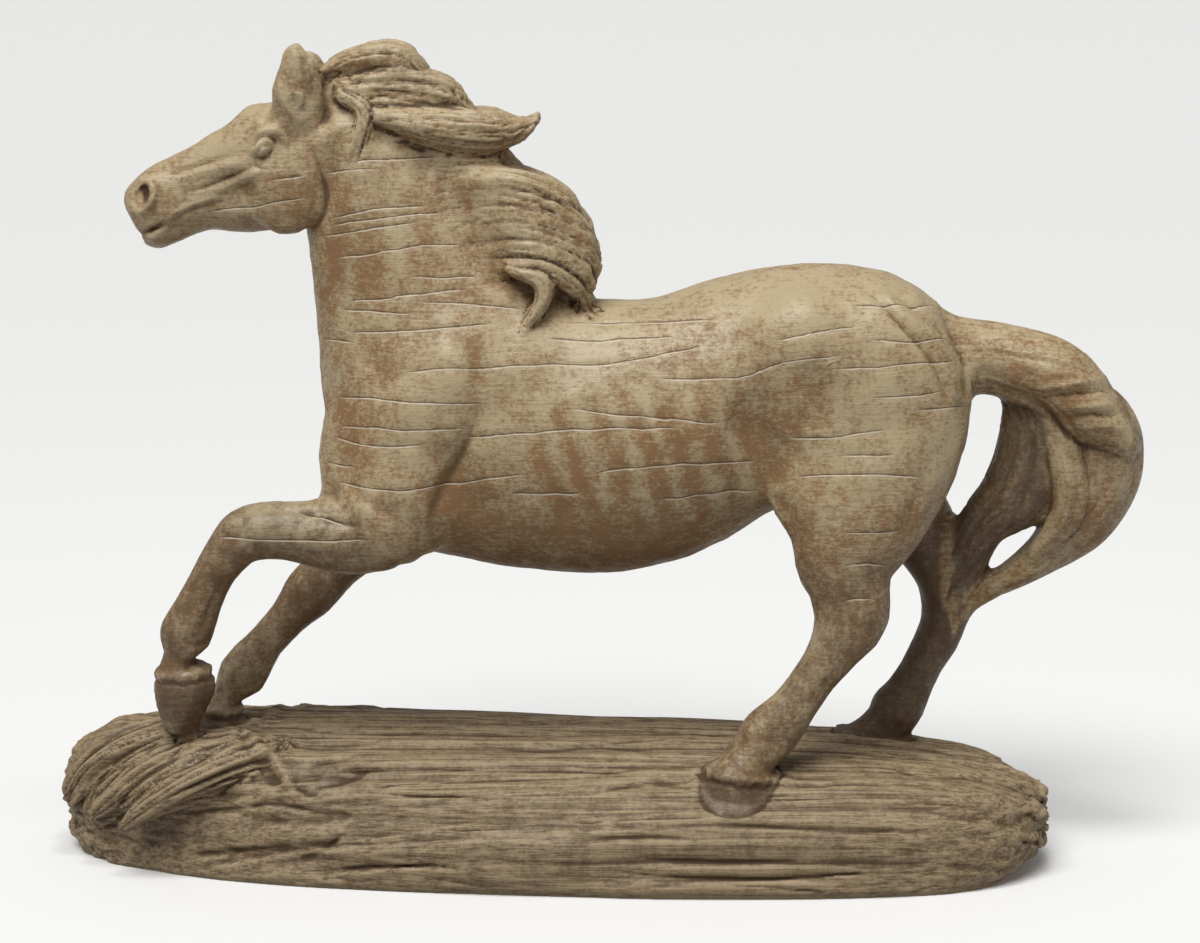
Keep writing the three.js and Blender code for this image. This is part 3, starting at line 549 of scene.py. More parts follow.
# %% [markdown]
# ## The mane
# The mane blows back in a crown, a wing lock that ends in a point, and a fan of waves below it.
# The solid already has those locks, as plain tapering tubes. So the skin is first settled, which
# lets neighbours run together. Then it gets its strands: broad waves, fine lines on top of them,
# and a crease wherever two locks meet. The fan's roots are settled more, to grow out of the neck.

# %% Lay out the mane
MANE = [  # joints of each lock: place, then half sizes up and across, in millimetres
    [(-94.5, 4, 276.5, 2.6, 3.4), (-84, 4.5, 281, 4.4, 4.4), (-69, 4, 282, 5.6, 4.6),
     (-59, 4, 274.4, 3.6, 4)],
    [(-88, 6, 271, 4, 4), (-69.5, 5, 272, 8, 5.6), (-55, 4.5, 270.2, 7, 5.6),
     (-46.4, 4, 266.6, 3, 3.4)],
    [(-78, 9.5, 263.5, 2.6, 3.6), (-58, 9.5, 259.4, 6.4, 7), (-39, 8.5, 257.6, 7.8, 8),
     (-27.5, 7, 257.8, 4.2, 5), (-21, 6, 262.4, 1.4, 2)],
    [(-31, 19.5, 211, 2.4, 3), (-21.5, 20, 209, 3.6, 4.6), (-19, 20.5, 203, 3.4, 4.6),
     (-26, 22.5, 191.5, 1.3, 2)],
    [(-88, 9.5, 270, 2.4, 3), (-80.8, 11.2, 266, 2.6, 3), (-79.8, 12.6, 260, 2.6, 3),
     (-84, 13.8, 249, 1.6, 2)],
]
FAN_LOCKS = 6
FAN_TOP = [(-55, 7.5, 240), (-32, 13, 241.5), (-14, 9, 234.5), (-7, 5, 227)]
FAN_BOTTOM = [(-39, 12.5, 212), (-21, 17.5, 213), (-9, 14, 206), (-4, 9.5, 199)]
FAN_BOW = 5
FAN_SIZE = (3.9, 5.4)

mane_locks = [side for joints in MANE for side in both_sides(joints)]
for number in range(FAN_LOCKS):
    share = number / (FAN_LOCKS - 1)
    joints = []
    for step, (top, bottom) in enumerate(zip(FAN_TOP, FAN_BOTTOM)):
        place = np.array(top) + share * np.subtract(bottom, top)
        if step > 1:
            place[0] += FAN_BOW * math.sin(math.pi * share)
        joints.append((*place, *FAN_SIZE))
    mane_locks += both_sides(joints)
print(len(mane_locks), "locks in the mane, both sides counted")

# %% Carve strands along locks
WAVE_RUN = 90  # millimetres that a wave, a line and a hair run on for
LINE_RUN = 120
HAIR_RUN = 70
SETTLING = 0.9  # how far a point moves to its neighbours' mean in one pass
creased = np.zeros(len(skin))  # 1 in the creases and cut lines of the hair, for the paint


def soften(share, passes):
    """Skin settled towards its neighbours wherever share says so, so that locks run together."""
    local = np.flatnonzero(share > 0)
    here = np.concatenate([ends[:, 0], ends[:, 1]])
    inside = share[here] > 0
    there = np.concatenate([ends[:, 1], ends[:, 0]])[inside]
    slot = np.searchsorted(local, here[inside])
    moved = skin.copy()
    for _ in range(passes):
        for axis in range(3):
            mean = np.bincount(slot, moved[there, axis], len(local)) / meeting[local]
            moved[local, axis] += SETTLING * (mean - moved[local, axis])
    skin[:] += share[:, None] * (moved - skin)
    out[:] = skin_normals(skin)


def carve_hair(locks, reach, passes, waves, lines, creases):
    """Strands along a set of locks; gives how much each point belongs to the hair.

    Waves and lines are a height and a size, reach is in half sizes of a lock.
    """
    place, out_by, crease = follow_locks(skin, locks)
    share = soft_step(out_by, *reach)
    soften(share, passes)
    hair = np.flatnonzero(share > 0.001)
    spots = place[hair]
    meeting_place = soft_step(crease[hair], 0.45, 0.0)
    wave_height, wave_size = waves
    line_depth, line_size = lines
    hair_size = line_size * 0.7
    strand_cuts = incised(spots, (LINE_RUN, line_size, line_size), 0.2, 32)
    depth = wave_height * (gouged(spots, (WAVE_RUN, wave_size, wave_size), 31) - 0.7)
    depth -= line_depth * strand_cuts
    depth += line_depth * 0.7 * stretched(spots, (HAIR_RUN, hair_size, hair_size), 33)
    depth -= creases * meeting_place
    lift[hair] += depth * share[hair]
    # Creases and strand cuts are darkened later: partly brown wash, partly painted shade
    wash_and_shade = np.maximum(meeting_place, line_depth * strand_cuts)
    creased[hair] = np.maximum(creased[hair], wash_and_shade * share[hair])
    return share


mane_share = carve_hair(mane_locks, reach=(1.8, 1.25), passes=7, waves=(0.7, 8), lines=(0.75, 2.3),
                        creases=0.4)
FAN_ROOT_PASSES = 40
FAN_ROOT_CALM = 0.7  # share of the strands' depth that is lost where the fan leaves the neck
fan_roots = mane_share * soft_step(x, -24, -38) * soft_step(z, 252, 245)
soften(fan_roots, FAN_ROOT_PASSES)
lift *= 1 - FAN_ROOT_CALM * fan_roots
print("mane carved on", int((mane_share > 0.5).sum()), "points")

# %% [markdown]
# ## The tail
# The tail rolls off the croup in a thick band, and hangs in a lobe with a curtain inside it, which
# the paint later darkens as painted shade. It is smoother than the mane: a few broad folds, and shallow
# lines that follow them.

# %% Carve the tail
TAIL = [  # the band, the lobe, the curtain inside and the fold between them
    [(118, 0, 182, 12, 10), (140, -1, 178, 13.3, 12), (159, -2, 171.5, 13.2, 15),
     (170.8, -1, 159.6, 11, 15), (184, 1, 148, 6, 12)],
    [(167, 3, 167, 8, 11), (176.5, 4, 153, 12.6, 13.5), (178.3, 5, 138, 12.7, 13.5),
     (170.5, 8, 121, 12, 12.5), (156.5, 12, 105.5, 7.2, 10.5), (141.5, 16, 95, 4.4, 8),
     (131, 19, 86, 2.8, 6)],
    [(147, 1, 169, 6, 9), (152.5, 3, 150, 14, 10), (147.5, 6, 131, 14, 10),
     (135.5, 11, 118, 9, 9), (131, 16, 105, 8.6, 8.5), (127.5, 19, 94, 5.8, 8),
     (126.5, 21, 80, 2.4, 6)],
    [(153, -5, 161, 3, 4), (161.5, -6.5, 145, 5, 5), (163.5, -4.5, 125, 5.2, 5),
     (153, 4, 108.5, 3, 4)],
]
tail_share = carve_hair(TAIL, reach=(1.6, 1.25), passes=45, waves=(0.6, 12), lines=(0.3, 3), creases=0)
print("tail carved on", int((tail_share > 0.5).sum()), "points")

# %% [markdown]
# ## The roots at the left end
# Below the forefeet the grain twists into ropes that run down the log's broken end. The solid's
# ropes are thick and plain, so the skin there is settled until they are low swellings, and many
# thin ropes are cut along them. Modelling each thin rope as a tube would leave gaps between them.

# %% Carve the roots
ROOTS = [
    [(-114, -14, 44, 3, 6), (-130, -26, 39.5, 5, 8), (-148, -31, 31, 5, 8), (-167, -27, 17, 3, 6)],
    [(-128, -10, 46, 3, 6), (-145, -17, 41.5, 5, 7), (-163, -18, 31, 5, 7), (-180, -14, 17, 3, 6)],
    [(-150, -1, 49, 3, 6), (-168, -4, 43, 5, 7), (-182, -4, 32, 5, 7), (-190, -2, 20, 3, 6)],
]
ROOT_PASSES = 140
LEFT_END_SHARE = 0.8  # how much of the settling reaches the log's end around the ropes
root_place, root_out, root_crease = follow_locks(skin, ROOTS)
root_share = soft_step(root_out, 2.1, 1.2) * log_share * (1 - underside)
left_end = soft_step(x, -118, -136) * log_share * (1 - underside)
soften(np.maximum(root_share, LEFT_END_SHARE * left_end), ROOT_PASSES)
roots = np.flatnonzero(root_share > 0.001)
ROPE_HEIGHT = 1.2
THREAD_HEIGHT = 0.6
CREASE_DEPTH = 0.5
CUT_DEPTH = 0.8
spots = root_place[roots]
ropes = ROPE_HEIGHT * (gouged(spots, (90, 4.5, 4.5), 41) - 0.6)
ropes += THREAD_HEIGHT * stretched(spots, (80, 2, 2), 42)
rope_cuts = incised(spots, (110, 3.2, 3.2), 0.14, 43)
ropes -= CREASE_DEPTH * soft_step(root_crease[roots], 0.3, 0) + CUT_DEPTH * rope_cuts
lift[roots] += root_share[roots] * (ropes - lift[roots])
creased[roots] = np.maximum(creased[roots], rope_cuts * root_share[roots])
print("roots carved on", len(roots), "points")

# %% [markdown]
# ## The face
# The eye is an almond set off by a groove, under a heavy upper lid and a soft fold of brow. The
# nostril is a hollow with a thick rim behind it, and the mouth is one cut that ends below a ridge
# of lip. Two long folds run from the nose back to the eye. All are strokes in the side view, each
# a groove or a ridge with a soft profile, as a modelling tool leaves in clay.

# %% Tools for the face
def ring(distance, middle, width):
    """1 at some distance, falling away to nothing on both sides."""
    return np.exp(-(((distance - middle) / width) ** 2))


def cut(stroke, half_width, depth, zone, blunt=0.0):
    """A groove, or a ridge if depth is positive, along a stroke, fading out at its ends."""
    near, gap, share = near_stroke(side_seen, stroke, 3 * half_width)
    fade = np.maximum(np.sin(math.pi * np.clip(share, 0, 1)) ** 0.5, blunt)
    lift[near] += depth * ring(gap, 0, half_width) * fade * zone[near]


def tilted_gap(centre, half, tilt):
    """Distance from a tilted oval's centre in the picture, 1 on the oval itself."""
    turn = math.radians(tilt)
    du, dv = (side_seen - np.array(centre)).T
    along = du * math.cos(turn) - dv * math.sin(turn)
    across = du * math.sin(turn) + dv * math.cos(turn)
    return np.hypot(along / half[0], across / half[1])


def cut_all(strokes, zone):
    """Every groove and ridge of a named set."""
    for stroke, half_width, depth in strokes.values():
        cut(stroke, half_width, depth, zone)


print("grooves and ridges can be cut")

# %% Carve the face
face = soft_step(x, -84, -92) * soft_step(z, 214, 218) * soft_step(np.abs(out[:, 1]), 0.1, 0.4)
EYE = (264.5, 152)
eye_gap = tilted_gap(EYE, (8.4, 4.8), 34)
lift -= face * 0.7 * ring(eye_gap, 1.1, 0.25)
FACE_CUTS = {  # picture places, half width in columns, depth in millimetres
    "upper_lid": ([(253, 157), (256, 148), (262, 141), (269, 142), (274, 150)], 2.0, 0.9),
    "lid_crease": ([(252, 150), (257, 140), (265, 136), (273, 139), (278, 148)], 1.6, -0.8),
    "brow": ([(252, 144), (258, 134), (268, 129), (280, 134), (287, 145)], 3.6, 0.9),
    "lower_lid": ([(254, 159), (259, 164), (267, 165), (275, 159)], 1.8, 0.5),
    "under_lid": ([(253, 163), (260, 169), (269, 170), (278, 163)], 1.8, -0.6),
    "ear_fold": ([(279, 82), (283, 98), (291, 112), (303, 124)], 3.4, 1.0),
    "ear_groove": ([(288, 82), (292, 96), (299, 107), (310, 114)], 2.6, -0.4),
    "ear_fill": ([(299, 90), (301, 100), (304, 110)], 5, 1.2),
    "ear_ridge": ([(294, 50), (298, 64), (300, 78), (302, 92)], 2.6, 0.8),
    "ear_back": ([(306, 58), (310, 74), (313, 94)], 3.4, -0.6),
    "ear_back_line": ([(315, 62), (318, 78), (320, 94)], 1.8, -0.5),
    "ear_whorl": ([(286, 102), (292, 92), (300, 96), (299, 106), (291, 110)], 2, 0.7),
    "poll_lock": ([(326, 92), (334, 108), (338, 126), (332, 146)], 3.4, 0.7),
    "nose_fold": ([(168, 175), (190, 168), (215, 160), (248, 152)], 2.4, -0.8),
    "nose_bone": ([(172, 180), (195, 174), (222, 167), (250, 160)], 3.4, 0.6),
    "cheek_fold": ([(183, 193), (205, 187), (232, 176), (252, 167)], 2.4, -0.8),
    "cheek_bone": ([(205, 195), (232, 184), (255, 173), (275, 168)], 4.5, 0.9),
    "lip_ridge": ([(160, 224), (178, 211), (205, 201), (222, 197)], 3.6, 0.9),
    "lip_fold": ([(176, 219), (192, 209), (212, 203), (232, 201)], 2.8, -0.7),
    "jaw_edge": ([(306, 140), (317, 160), (326, 190), (324, 214), (312, 232)], 3.5, -1.0),
    "lips_closed": ([(136, 238), (157, 231), (170, 225), (190, 216)], 3.6, 1.1),
    "mouth": ([(138, 236), (150, 231), (160, 226), (168, 220)], 2.2, -0.8),
}
cut_all(FACE_CUTS, face)

NOSTRIL = (141, 197)
NOSTRIL_RIM = [(141, 180), (149, 182), (154, 191), (151, 203), (142, 211), (133, 212)]
cut(NOSTRIL_RIM, 3.2, 1.2, face, 0.5)
nostril_gap = tilted_gap(NOSTRIL, (12.5, 7), 72)
lift += face * (0.9 * soft_step(nostril_gap, 0.75, 0.2) - 0.6 * soft_step(nostril_gap, 1.15, 0.7))
print("face carved on", int((eye_gap < 1).sum()), "eye points and", len(FACE_CUTS), "lines")

# %% [markdown]
# ## Ropes and cracks on the log
# Below the forefeet the grain winds into single ropes with dark undercuts, a fold of wood runs
# down to a knot, and a few long cracks cross the front. They are drawn as strokes like the lines
# of the face. Noise alone would put them anywhere.

# %% Carve ropes, knot and cracks
LOG_CUTS = {
    "rope_low": ([(246, 748), (215, 764), (185, 779), (150, 799), (125, 817)], 6, 1.4),
    "rope_low_under": ([(252, 763), (222, 776), (190, 788), (160, 802)], 3.5, -1.4),
    "rope_high": ([(242, 740), (205, 748), (172, 769), (138, 792), (118, 812)], 5, 1.2),
    "rope_high_under": ([(236, 752), (205, 759), (174, 779), (142, 801)], 2.5, -1.2),
    "rope_left": ([(172, 733), (155, 756), (126, 780), (112, 808)], 5, 1.2),
    "rope_left_under": ([(184, 738), (164, 762), (136, 786), (120, 805)], 2.5, -1.1),
    "rope_outer": ([(146, 731), (113, 748), (82, 768), (68, 798)], 5, 1.2),
    "rope_outer_under": ([(152, 741), (120, 757), (92, 778), (78, 806)], 3, -1.2),
    "end_dash": ([(106, 750), (120, 745), (136, 741)], 2.5, -1.1),
    "fold": ([(232, 727), (254, 740), (272, 757), (285, 777), (300, 795)], 5, 1.5),
    "fold_hollow": ([(254, 756), (268, 770), (276, 788)], 9, -1.5),
    "knot_loop": ([(292, 778), (300, 790), (312, 794), (322, 788)], 3, -1.4),
    "knot_ridge": ([(318, 778), (340, 772), (368, 762)], 4.5, 1.2),
    "knot_under": ([(316, 788), (342, 782), (370, 771)], 3, -1.6),
    "knot_top": ([(304, 770), (330, 762), (356, 758)], 3, -1.0),
    "crack_one": ([(185, 813), (232, 809), (278, 805), (318, 812), (352, 813)], 2.8, -1.2),
    "crack_two": ([(178, 854), (262, 850), (330, 842), (405, 833)], 3, -1.3),
    "crack_three": ([(205, 866), (278, 853), (378, 843), (470, 838)], 2.8, -1.2),
    "crack_four": ([(300, 876), (370, 868), (450, 866)], 2.8, -1.0),
    "crack_five": ([(640, 858), (720, 862), (800, 860)], 2.8, -1.1),
    "crack_six": ([(690, 822), (760, 826), (860, 832), (900, 829)], 2.8, -1.1),
    "crack_seven": ([(560, 842), (640, 838), (700, 840)], 2.8, -1.0),
    "crack_eight": ([(470, 742), (540, 748), (600, 744), (660, 752)], 3, -1.1),
    "crack_nine": ([(700, 790), (650, 783), (590, 792), (540, 788)], 2.8, -0.9),
}
front_of_log = log_share * (1 - underside) * soft_step(out[:, 1], 0.5, 0.1)
cut_all(LOG_CUTS, front_of_log)
print(len(LOG_CUTS), "lines carved on the log")

# %% [markdown]
# ## Lines on the tail
# The top band carries almost level cuts and ends in a wavy edge, and long lines flow down the
# curtain inside. They are strokes as well, because the strands above follow the locks and could
# not run across the band.

# %% Carve lines on the tail
TAIL_CUTS = {
    "band_one": ([(1008, 331), (1050, 339), (1086, 353)], 3, -0.6),
    "band_two": ([(975, 350), (1020, 356), (1075, 367), (1106, 381)], 3, -0.7),
    "band_crest": ([(1030, 391), (1070, 384), (1112, 376)], 4, 0.9),
    "band_three": ([(1040, 400), (1080, 394), (1116, 389)], 3, -1.0),
    "band_four": ([(1052, 410), (1088, 407), (1119, 404)], 4, 0.8),
    "band_five": ([(1062, 420), (1092, 416), (1122, 416)], 3, -1.0),
    "band_six": ([(1072, 431), (1100, 427), (1126, 430)], 3.5, 0.7),
    "band_edge": ([(984, 384), (1026, 398), (1050, 414), (1068, 436), (1090, 446), (1120, 446)], 4, -1.2),
    "lobe_edge": ([(1066, 440), (1076, 470), (1078, 500), (1066, 545)], 5, -0.8),
    "flow_one": ([(1016, 408), (1008, 470), (978, 530), (940, 590)], 4, -0.7),
    "flow_two": ([(1034, 420), (1030, 480), (1004, 540), (966, 596)], 4, -0.7),
    "flow_three": ([(1000, 420), (986, 480), (955, 532)], 4, -0.6),
    "flow_four": ([(1000, 560), (962, 600), (944, 640)], 4, -0.7),
}
on_tail = tail_share * soft_step(out[:, 1], 0.5, 0.1)
cut_all(TAIL_CUTS, on_tail)
print(len(TAIL_CUTS), "lines carved on the tail")

# %% [markdown]
# ## Muscle folds
# Folds part the shoulder from the ribs, the buttock from the thigh and the tail, and the bands
# of the forearm from each other. The solid has the swellings, and these soft grooves are the
# seams between them.

# %% Carve the folds
FOLDS = {
    "hamstring": ([(850, 281), (876, 297), (903, 327), (926, 352), (940, 378), (946, 410)], 4, -1.4),
    "tail_seam": ([(885, 284), (920, 311), (950, 338), (966, 366), (968, 400)], 5, -1.6),
    "buttock_band": ([(880, 292), (910, 318), (938, 345), (953, 372), (957, 405)], 6, 1.0),
    "thigh_edge": ([(934, 450), (925, 475), (914, 505), (898, 540)], 6, -0.8),
    "stifle_fold": ([(800, 470), (795, 495), (790, 518), (796, 548)], 7, -1.2),
    "hip_hollow": ([(806, 362), (818, 395), (815, 432)], 17, -1.3),
    "flank_hollow": ([(752, 395), (765, 440), (776, 490)], 14, -0.9),
    "shoulder_back": ([(480, 398), (468, 440), (449, 480), (438, 509), (434, 545)], 7, -1.7),
    "shoulder_blade": ([(458, 325), (476, 360), (478, 400)], 8, -0.9),
    "blade_ridge": ([(436, 335), (450, 370), (452, 410)], 13, 0.8),
    "breast_fold": ([(338, 450), (352, 488), (378, 506), (402, 512)], 6, -0.9),
    "arm_fold": ([(372, 508), (398, 523), (394, 552)], 6, -0.9),
    "neck_seam": ([(330, 250), (347, 300), (362, 350), (392, 395)], 10, -0.7),
    "neck_muscle": ([(352, 190), (384, 240), (420, 290), (452, 330)], 22, 0.8),
}
NEAR_FOLDS = {  # on the near legs alone
    "forearm_seam": ([(262, 509), (300, 512), (330, 520), (372, 530)], 4, -0.8),
    "forearm_low": ([(240, 540), (280, 552), (330, 556), (372, 560)], 5, -0.6),
    "knee_cap": ([(226, 540), (240, 528), (246, 512)], 4, -0.6),
    "fore_tendon": ([(228, 575), (213, 602), (199, 634)], 4, -0.9),
    "fore_fetlock": ([(184, 640), (196, 646), (210, 640)], 3, -0.7),
    "gaskin_seam": ([(838, 560), (846, 600), (858, 640)], 6, -0.7),
    "hock_tendon": ([(850, 650), (826, 684), (792, 716)], 5, -0.8),
    "hind_fetlock": ([(754, 735), (772, 742), (790, 738)], 4, -0.7),
    "point_of_hock": ([(862, 600), (880, 622), (874, 648)], 5, 0.6),
}
body = horse_share * soft_step(np.abs(out[:, 1]), 0.15, 0.45)
cut_all(FOLDS, body)
cut_all(NEAR_FOLDS, body * (y < 0))
print(len(FOLDS) + len(NEAR_FOLDS), "folds carved")

# %% [markdown]
# ## Hooves and worn skin
# A ragged band marks where the hair ends above each hoof, faint level ridges ring the horn, and a
# seam runs where a foot meets the log. Elsewhere the horse's skin has the slight unevenness of a
# carved block, and faint ribs behind the shoulder. All of it is far too low for the solid.

# %% Carve the hooves
CORONETS = {  # middle of the band, the way down the hoof, and its half width, in millimetres
    "near_fore": ((-145.4, -15, 70.5), (0.05, 0.05, -1), 8),
    "far_fore": ((-135.2, 10.5, 50.5), (-0.05, 0, -1), 8),
    "near_hind": ((47.6, -34, 39), (-0.11, -0.03, -1), 12),
    "far_hind": ((96.5, 19.5, 38), (-0.2, -0.05, -1), 10),
}
BAND_HEIGHT = 0.9
BAND_UNDERCUT = 0.7
HORN_RIDGE = 0.12
HORN_STEP = 2.8  # millimetres from one level ridge of the horn to the next
SEAM_DEPTH = 1.1
hooves = np.zeros(len(skin))  # 1 below the band on each hoof
for centre, down, size in CORONETS.values():
    axis = np.array(down) / np.linalg.norm(down)
    offset = skin - np.array(centre)
    fallen = offset @ axis
    aside = np.linalg.norm(offset - fallen[:, None] * axis, axis=1)
    ragged = fallen + 0.9 * stretched(skin, (3, 3, 5), 51)
    reach = soft_step(aside, size + 4, size + 1.5) * horse_share
    lift += BAND_HEIGHT * ring(ragged, 0, 1.3) * reach - BAND_UNDERCUT * ring(ragged, 2.6, 0.9) * reach
    horn = soft_step(ragged, 0.5, 2.5) * reach
    lift += HORN_RIDGE * horn * np.sin(2 * math.pi * fallen / HORN_STEP)
    hooves = np.maximum(hooves, horn)
foot_edge = ring(foot_gap, 1.07, 0.06) * log_share  # the seam where a foot meets the log
lift -= SEAM_DEPTH * foot_edge
print("hooves carved on", int((hooves > 0.5).sum()), "points")

# %% Carve ribs and skin
UNEVEN = {  # height in millimetres, sizes and seed
    "hollows": (0.28, (11, 9, 9), 52),
    "tool_marks": (0.12, (4.5, 3.5, 3), 53),
}
bare = horse_share * (1 - np.maximum(mane_share, tail_share))
for height, sizes, seed in UNEVEN.values():
    lift += bare * height * stretched(skin, sizes, seed)
RIB_SPACING = 12.2
RIB_SLANT = 0.36
RIB_HEIGHT = 0.35
rib_zone = soft_step(x, -30, -14) * soft_step(x, 62, 44) * soft_step(z, 118, 132)
rib_zone *= soft_step(z, 178, 160) * soft_step(np.abs(y), 18, 26) * bare
rib_run = x + RIB_SLANT * z + 2.5 * stretched(skin, (20, 20, 20), 54)
rib_wave = np.sin(rib_run * 2 * math.pi / RIB_SPACING)
lift += RIB_HEIGHT * rib_zone * rib_wave
print("skin carved, ribs over", int((rib_zone > 0.5).sum()), "points")

# %% [markdown]
# ## Cracks
# Fine drying cracks run level round the body: a dark line with a painted highlight below it, where
# light would catch the crack's lower lip. They are given as strokes in the side view. Each point keeps
# how far above or below its nearest stroke it lies, so the paint can draw a line much finer than the net,
# and the net gets a shallow groove.

# %% Lay out the cracks
CRACKS = {  # picture places along each crack, from left to right
    "neck": [
        [(335, 162), (412, 158), (466, 155)],
        [(323, 174), (350, 170), (376, 168)],
        [(329, 218), (388, 208), (429, 205)],
        [(329, 225), (406, 215), (459, 212)],
        [(321, 236), (359, 230), (418, 221)],
        [(335, 259), (396, 250), (446, 244), (508, 248)],
        [(412, 277), (469, 277), (519, 274)],
        [(346, 300), (388, 298), (465, 288)],
        [(338, 309), (392, 312), (415, 311)],
    ],
    "withers": [
        [(419, 302), (465, 303), (523, 309)],
        [(346, 332), (415, 330), (492, 323)],
    ],
    "breast": [
        [(319, 338), (340, 340), (358, 343)],
        [(335, 396), (435, 403), (485, 402)],
        [(338, 425), (404, 430), (465, 428)],
        [(331, 436), (377, 446), (427, 444)],
        [(323, 459), (340, 464), (358, 467)],
        [(335, 482), (400, 490), (462, 482), (527, 473)],
    ],
    "back": [
        [(569, 323), (640, 322), (715, 319)],
        [(546, 338), (592, 340), (677, 337)],
        [(404, 372), (454, 369), (531, 365), (608, 363), (704, 346)],
    ],
    "rib": [
        [(569, 409), (646, 417), (723, 423)],
        [(465, 438), (515, 434), (569, 430), (631, 428), (677, 428)],
        [(508, 492), (569, 494), (585, 492)],
        [(592, 473), (669, 465), (758, 461)],
    ],
    "belly": [
        [(658, 500), (723, 492), (758, 490)],
    ],
    "loin": [
        [(658, 379), (715, 378), (748, 375), (790, 361), (842, 355)],
    ],
    "croup": [
        [(776, 341), (831, 329), (859, 327)],
        [(851, 306), (898, 305), (937, 306)],
        [(870, 340), (914, 342), (953, 338)],
        [(831, 370), (876, 367), (926, 363), (956, 362)],
    ],
    "haunch": [
        [(787, 438), (837, 437), (887, 429)],
        [(839, 455), (870, 456), (898, 454)],
        [(795, 477), (842, 474), (876, 474), (926, 476)],
        [(914, 411), (942, 408), (970, 406)],
        [(870, 398), (905, 396), (946, 392)],
    ],
    "thigh": [
        [(842, 532), (872, 533), (905, 530)],
        [(842, 566), (866, 564), (890, 565)],
    ],
    "gaskin": [
        [(840, 602), (858, 599), (876, 598)],
    ],
    "forearm": [
        [(216, 536), (290, 541), (369, 540)],
        [(300, 512), (325, 518), (350, 526)],
    ],
    "cheek": [
        [(205, 212), (245, 207), (310, 197)],
        [(267, 181), (290, 178), (312, 175)],
    ],
}
crack_strokes = [stroke for strokes in CRACKS.values() for stroke in strokes]
print(len(crack_strokes), "cracks on each side")

# %% Measure every point from its nearest crack
FAR_SHIFT = (26, 11)  # the far side's cracks lie a little off the near side's, in picture units
CRACK_WAVER = 1.6  # how far a crack strays from its stroke, in picture units
CRACK_FADE = 14  # picture units over which a crack's ends fade
CRACK_DEPTH = 0.3
NO_CRACK = 4.0  # offsets are kept within this many millimetres
RUN_ON = 28  # picture units past a crack that still measure their offset from it

CHANNELS = 4  # cracks take turns, so that two close ones never mix their offsets
crack_offset = np.full((CHANNELS, len(skin)), NO_CRACK)
crack_near = np.zeros((CHANNELS, len(skin)))
sides = (np.flatnonzero((y < -3) & (bare > 0.1)), np.flatnonzero((y > 3) & (bare > 0.1)))
for number, stroke in enumerate(crack_strokes):
    channel = number % CHANNELS
    for side, shift in zip(sides, ((0, 0), FAR_SHIFT)):
        rows = np.array(stroke, dtype=float) + shift
        columns, heights = side_seen[side].T
        close = (columns > rows[0, 0] - RUN_ON) & (columns < rows[-1, 0] + RUN_ON)
        close &= (heights > rows[:, 1].min() - RUN_ON) & (heights < rows[:, 1].max() + RUN_ON)
        near = side[close]
        column = columns[close]
        path = curve_through(rows)
        waver = np.stack([column / 30, np.full(len(near), number * 7.3), 0 * column], axis=1)
        level = np.interp(column, path[:, 0], path[:, 1]) + CRACK_WAVER * lattice_noise(waver, 61)
        offset = (level - heights[close]) * SIDE_SCALE
        within = soft_step(column, rows[0, 0], rows[0, 0] + CRACK_FADE)
        within *= soft_step(column, rows[-1, 0], rows[-1, 0] - CRACK_FADE) * bare[near]
        unmarked = crack_offset[channel, near] == NO_CRACK
        closer = np.abs(offset) < np.abs(crack_offset[channel, near])
        closer = unmarked | closer & ((within > 0) | (crack_near[channel, near] == 0))
        crack_offset[channel, near[closer]] = np.clip(offset[closer], -NO_CRACK, NO_CRACK)
        crack_near[channel, near[closer]] = (within * soft_step(np.abs(offset), 2.6, 1.6))[closer]
lift -= CRACK_DEPTH * (crack_near * ring(crack_offset, 0, 0.5)).max(axis=0)
print("cracks touch", int((crack_near > 0).any(axis=0).sum()), "points")

# %% [markdown]
# ## Where the brown wash gathers, and where light and shade are painted
# The wash isn't even: it lies in upright streaks on the neck, in a patch behind the shoulder,
# between the ribs and at the hip. Each patch is a soft oval in the side view that pushes the paint
# towards brown or towards tan. The pale ovals along the back, on the withers and on the nose are painted
# highlights, and the brown one under the belly is painted shade. The hooves and the log got a heavier
# coat, so they also carry a share of the darkest brown; the legs and the inside of the tail carry it as
# painted shade.

# %% Lay out the wash
WASH_AND_PAINTED_LIGHT = {  # picture place, half sizes, amount
    "neck_front": (372, 275, 13, 62, 0.55),
    "neck_back": (418, 245, 13, 50, 0.5),
    "neck_edge": (336, 270, 9, 60, 0.5),
    "neck_between": (395, 260, 8, 60, -0.45),
    "throat": (346, 215, 14, 30, 0.35),
    "breast": (368, 420, 34, 34, 0.45),
    "chest_edge": (338, 385, 14, 60, 0.45),
    "blade_streak": (479, 368, 9, 42, 0.8),
    "shoulder_low": (448, 478, 36, 38, 0.6),
    "rib_front": (548, 470, 46, 36, 0.6),
    "rib_back": (684, 448, 58, 34, 0.5),
    # painted shade under the belly
    "belly": (600, 528, 130, 24, 0.5),
    "flank": (764, 420, 26, 46, 0.3),
    "hip": (816, 395, 20, 40, 0.45),
    "thigh": (800, 520, 22, 40, 0.5),
    "cheek": (288, 196, 26, 26, 0.4),
    "muzzle": (160, 205, 22, 20, 0.35),
    # painted highlight along the top of the back
    "back_highlight": (720, 300, 130, 26, -0.35),
    "haunch_pale": (900, 400, 36, 60, -0.35),
    "neck_pale": (440, 195, 26, 28, -0.3),
    # painted highlights on the withers and the nose
    "withers_highlight": (560, 330, 60, 22, -0.4),
    "nose_highlight": (215, 150, 50, 12, -0.4),
}


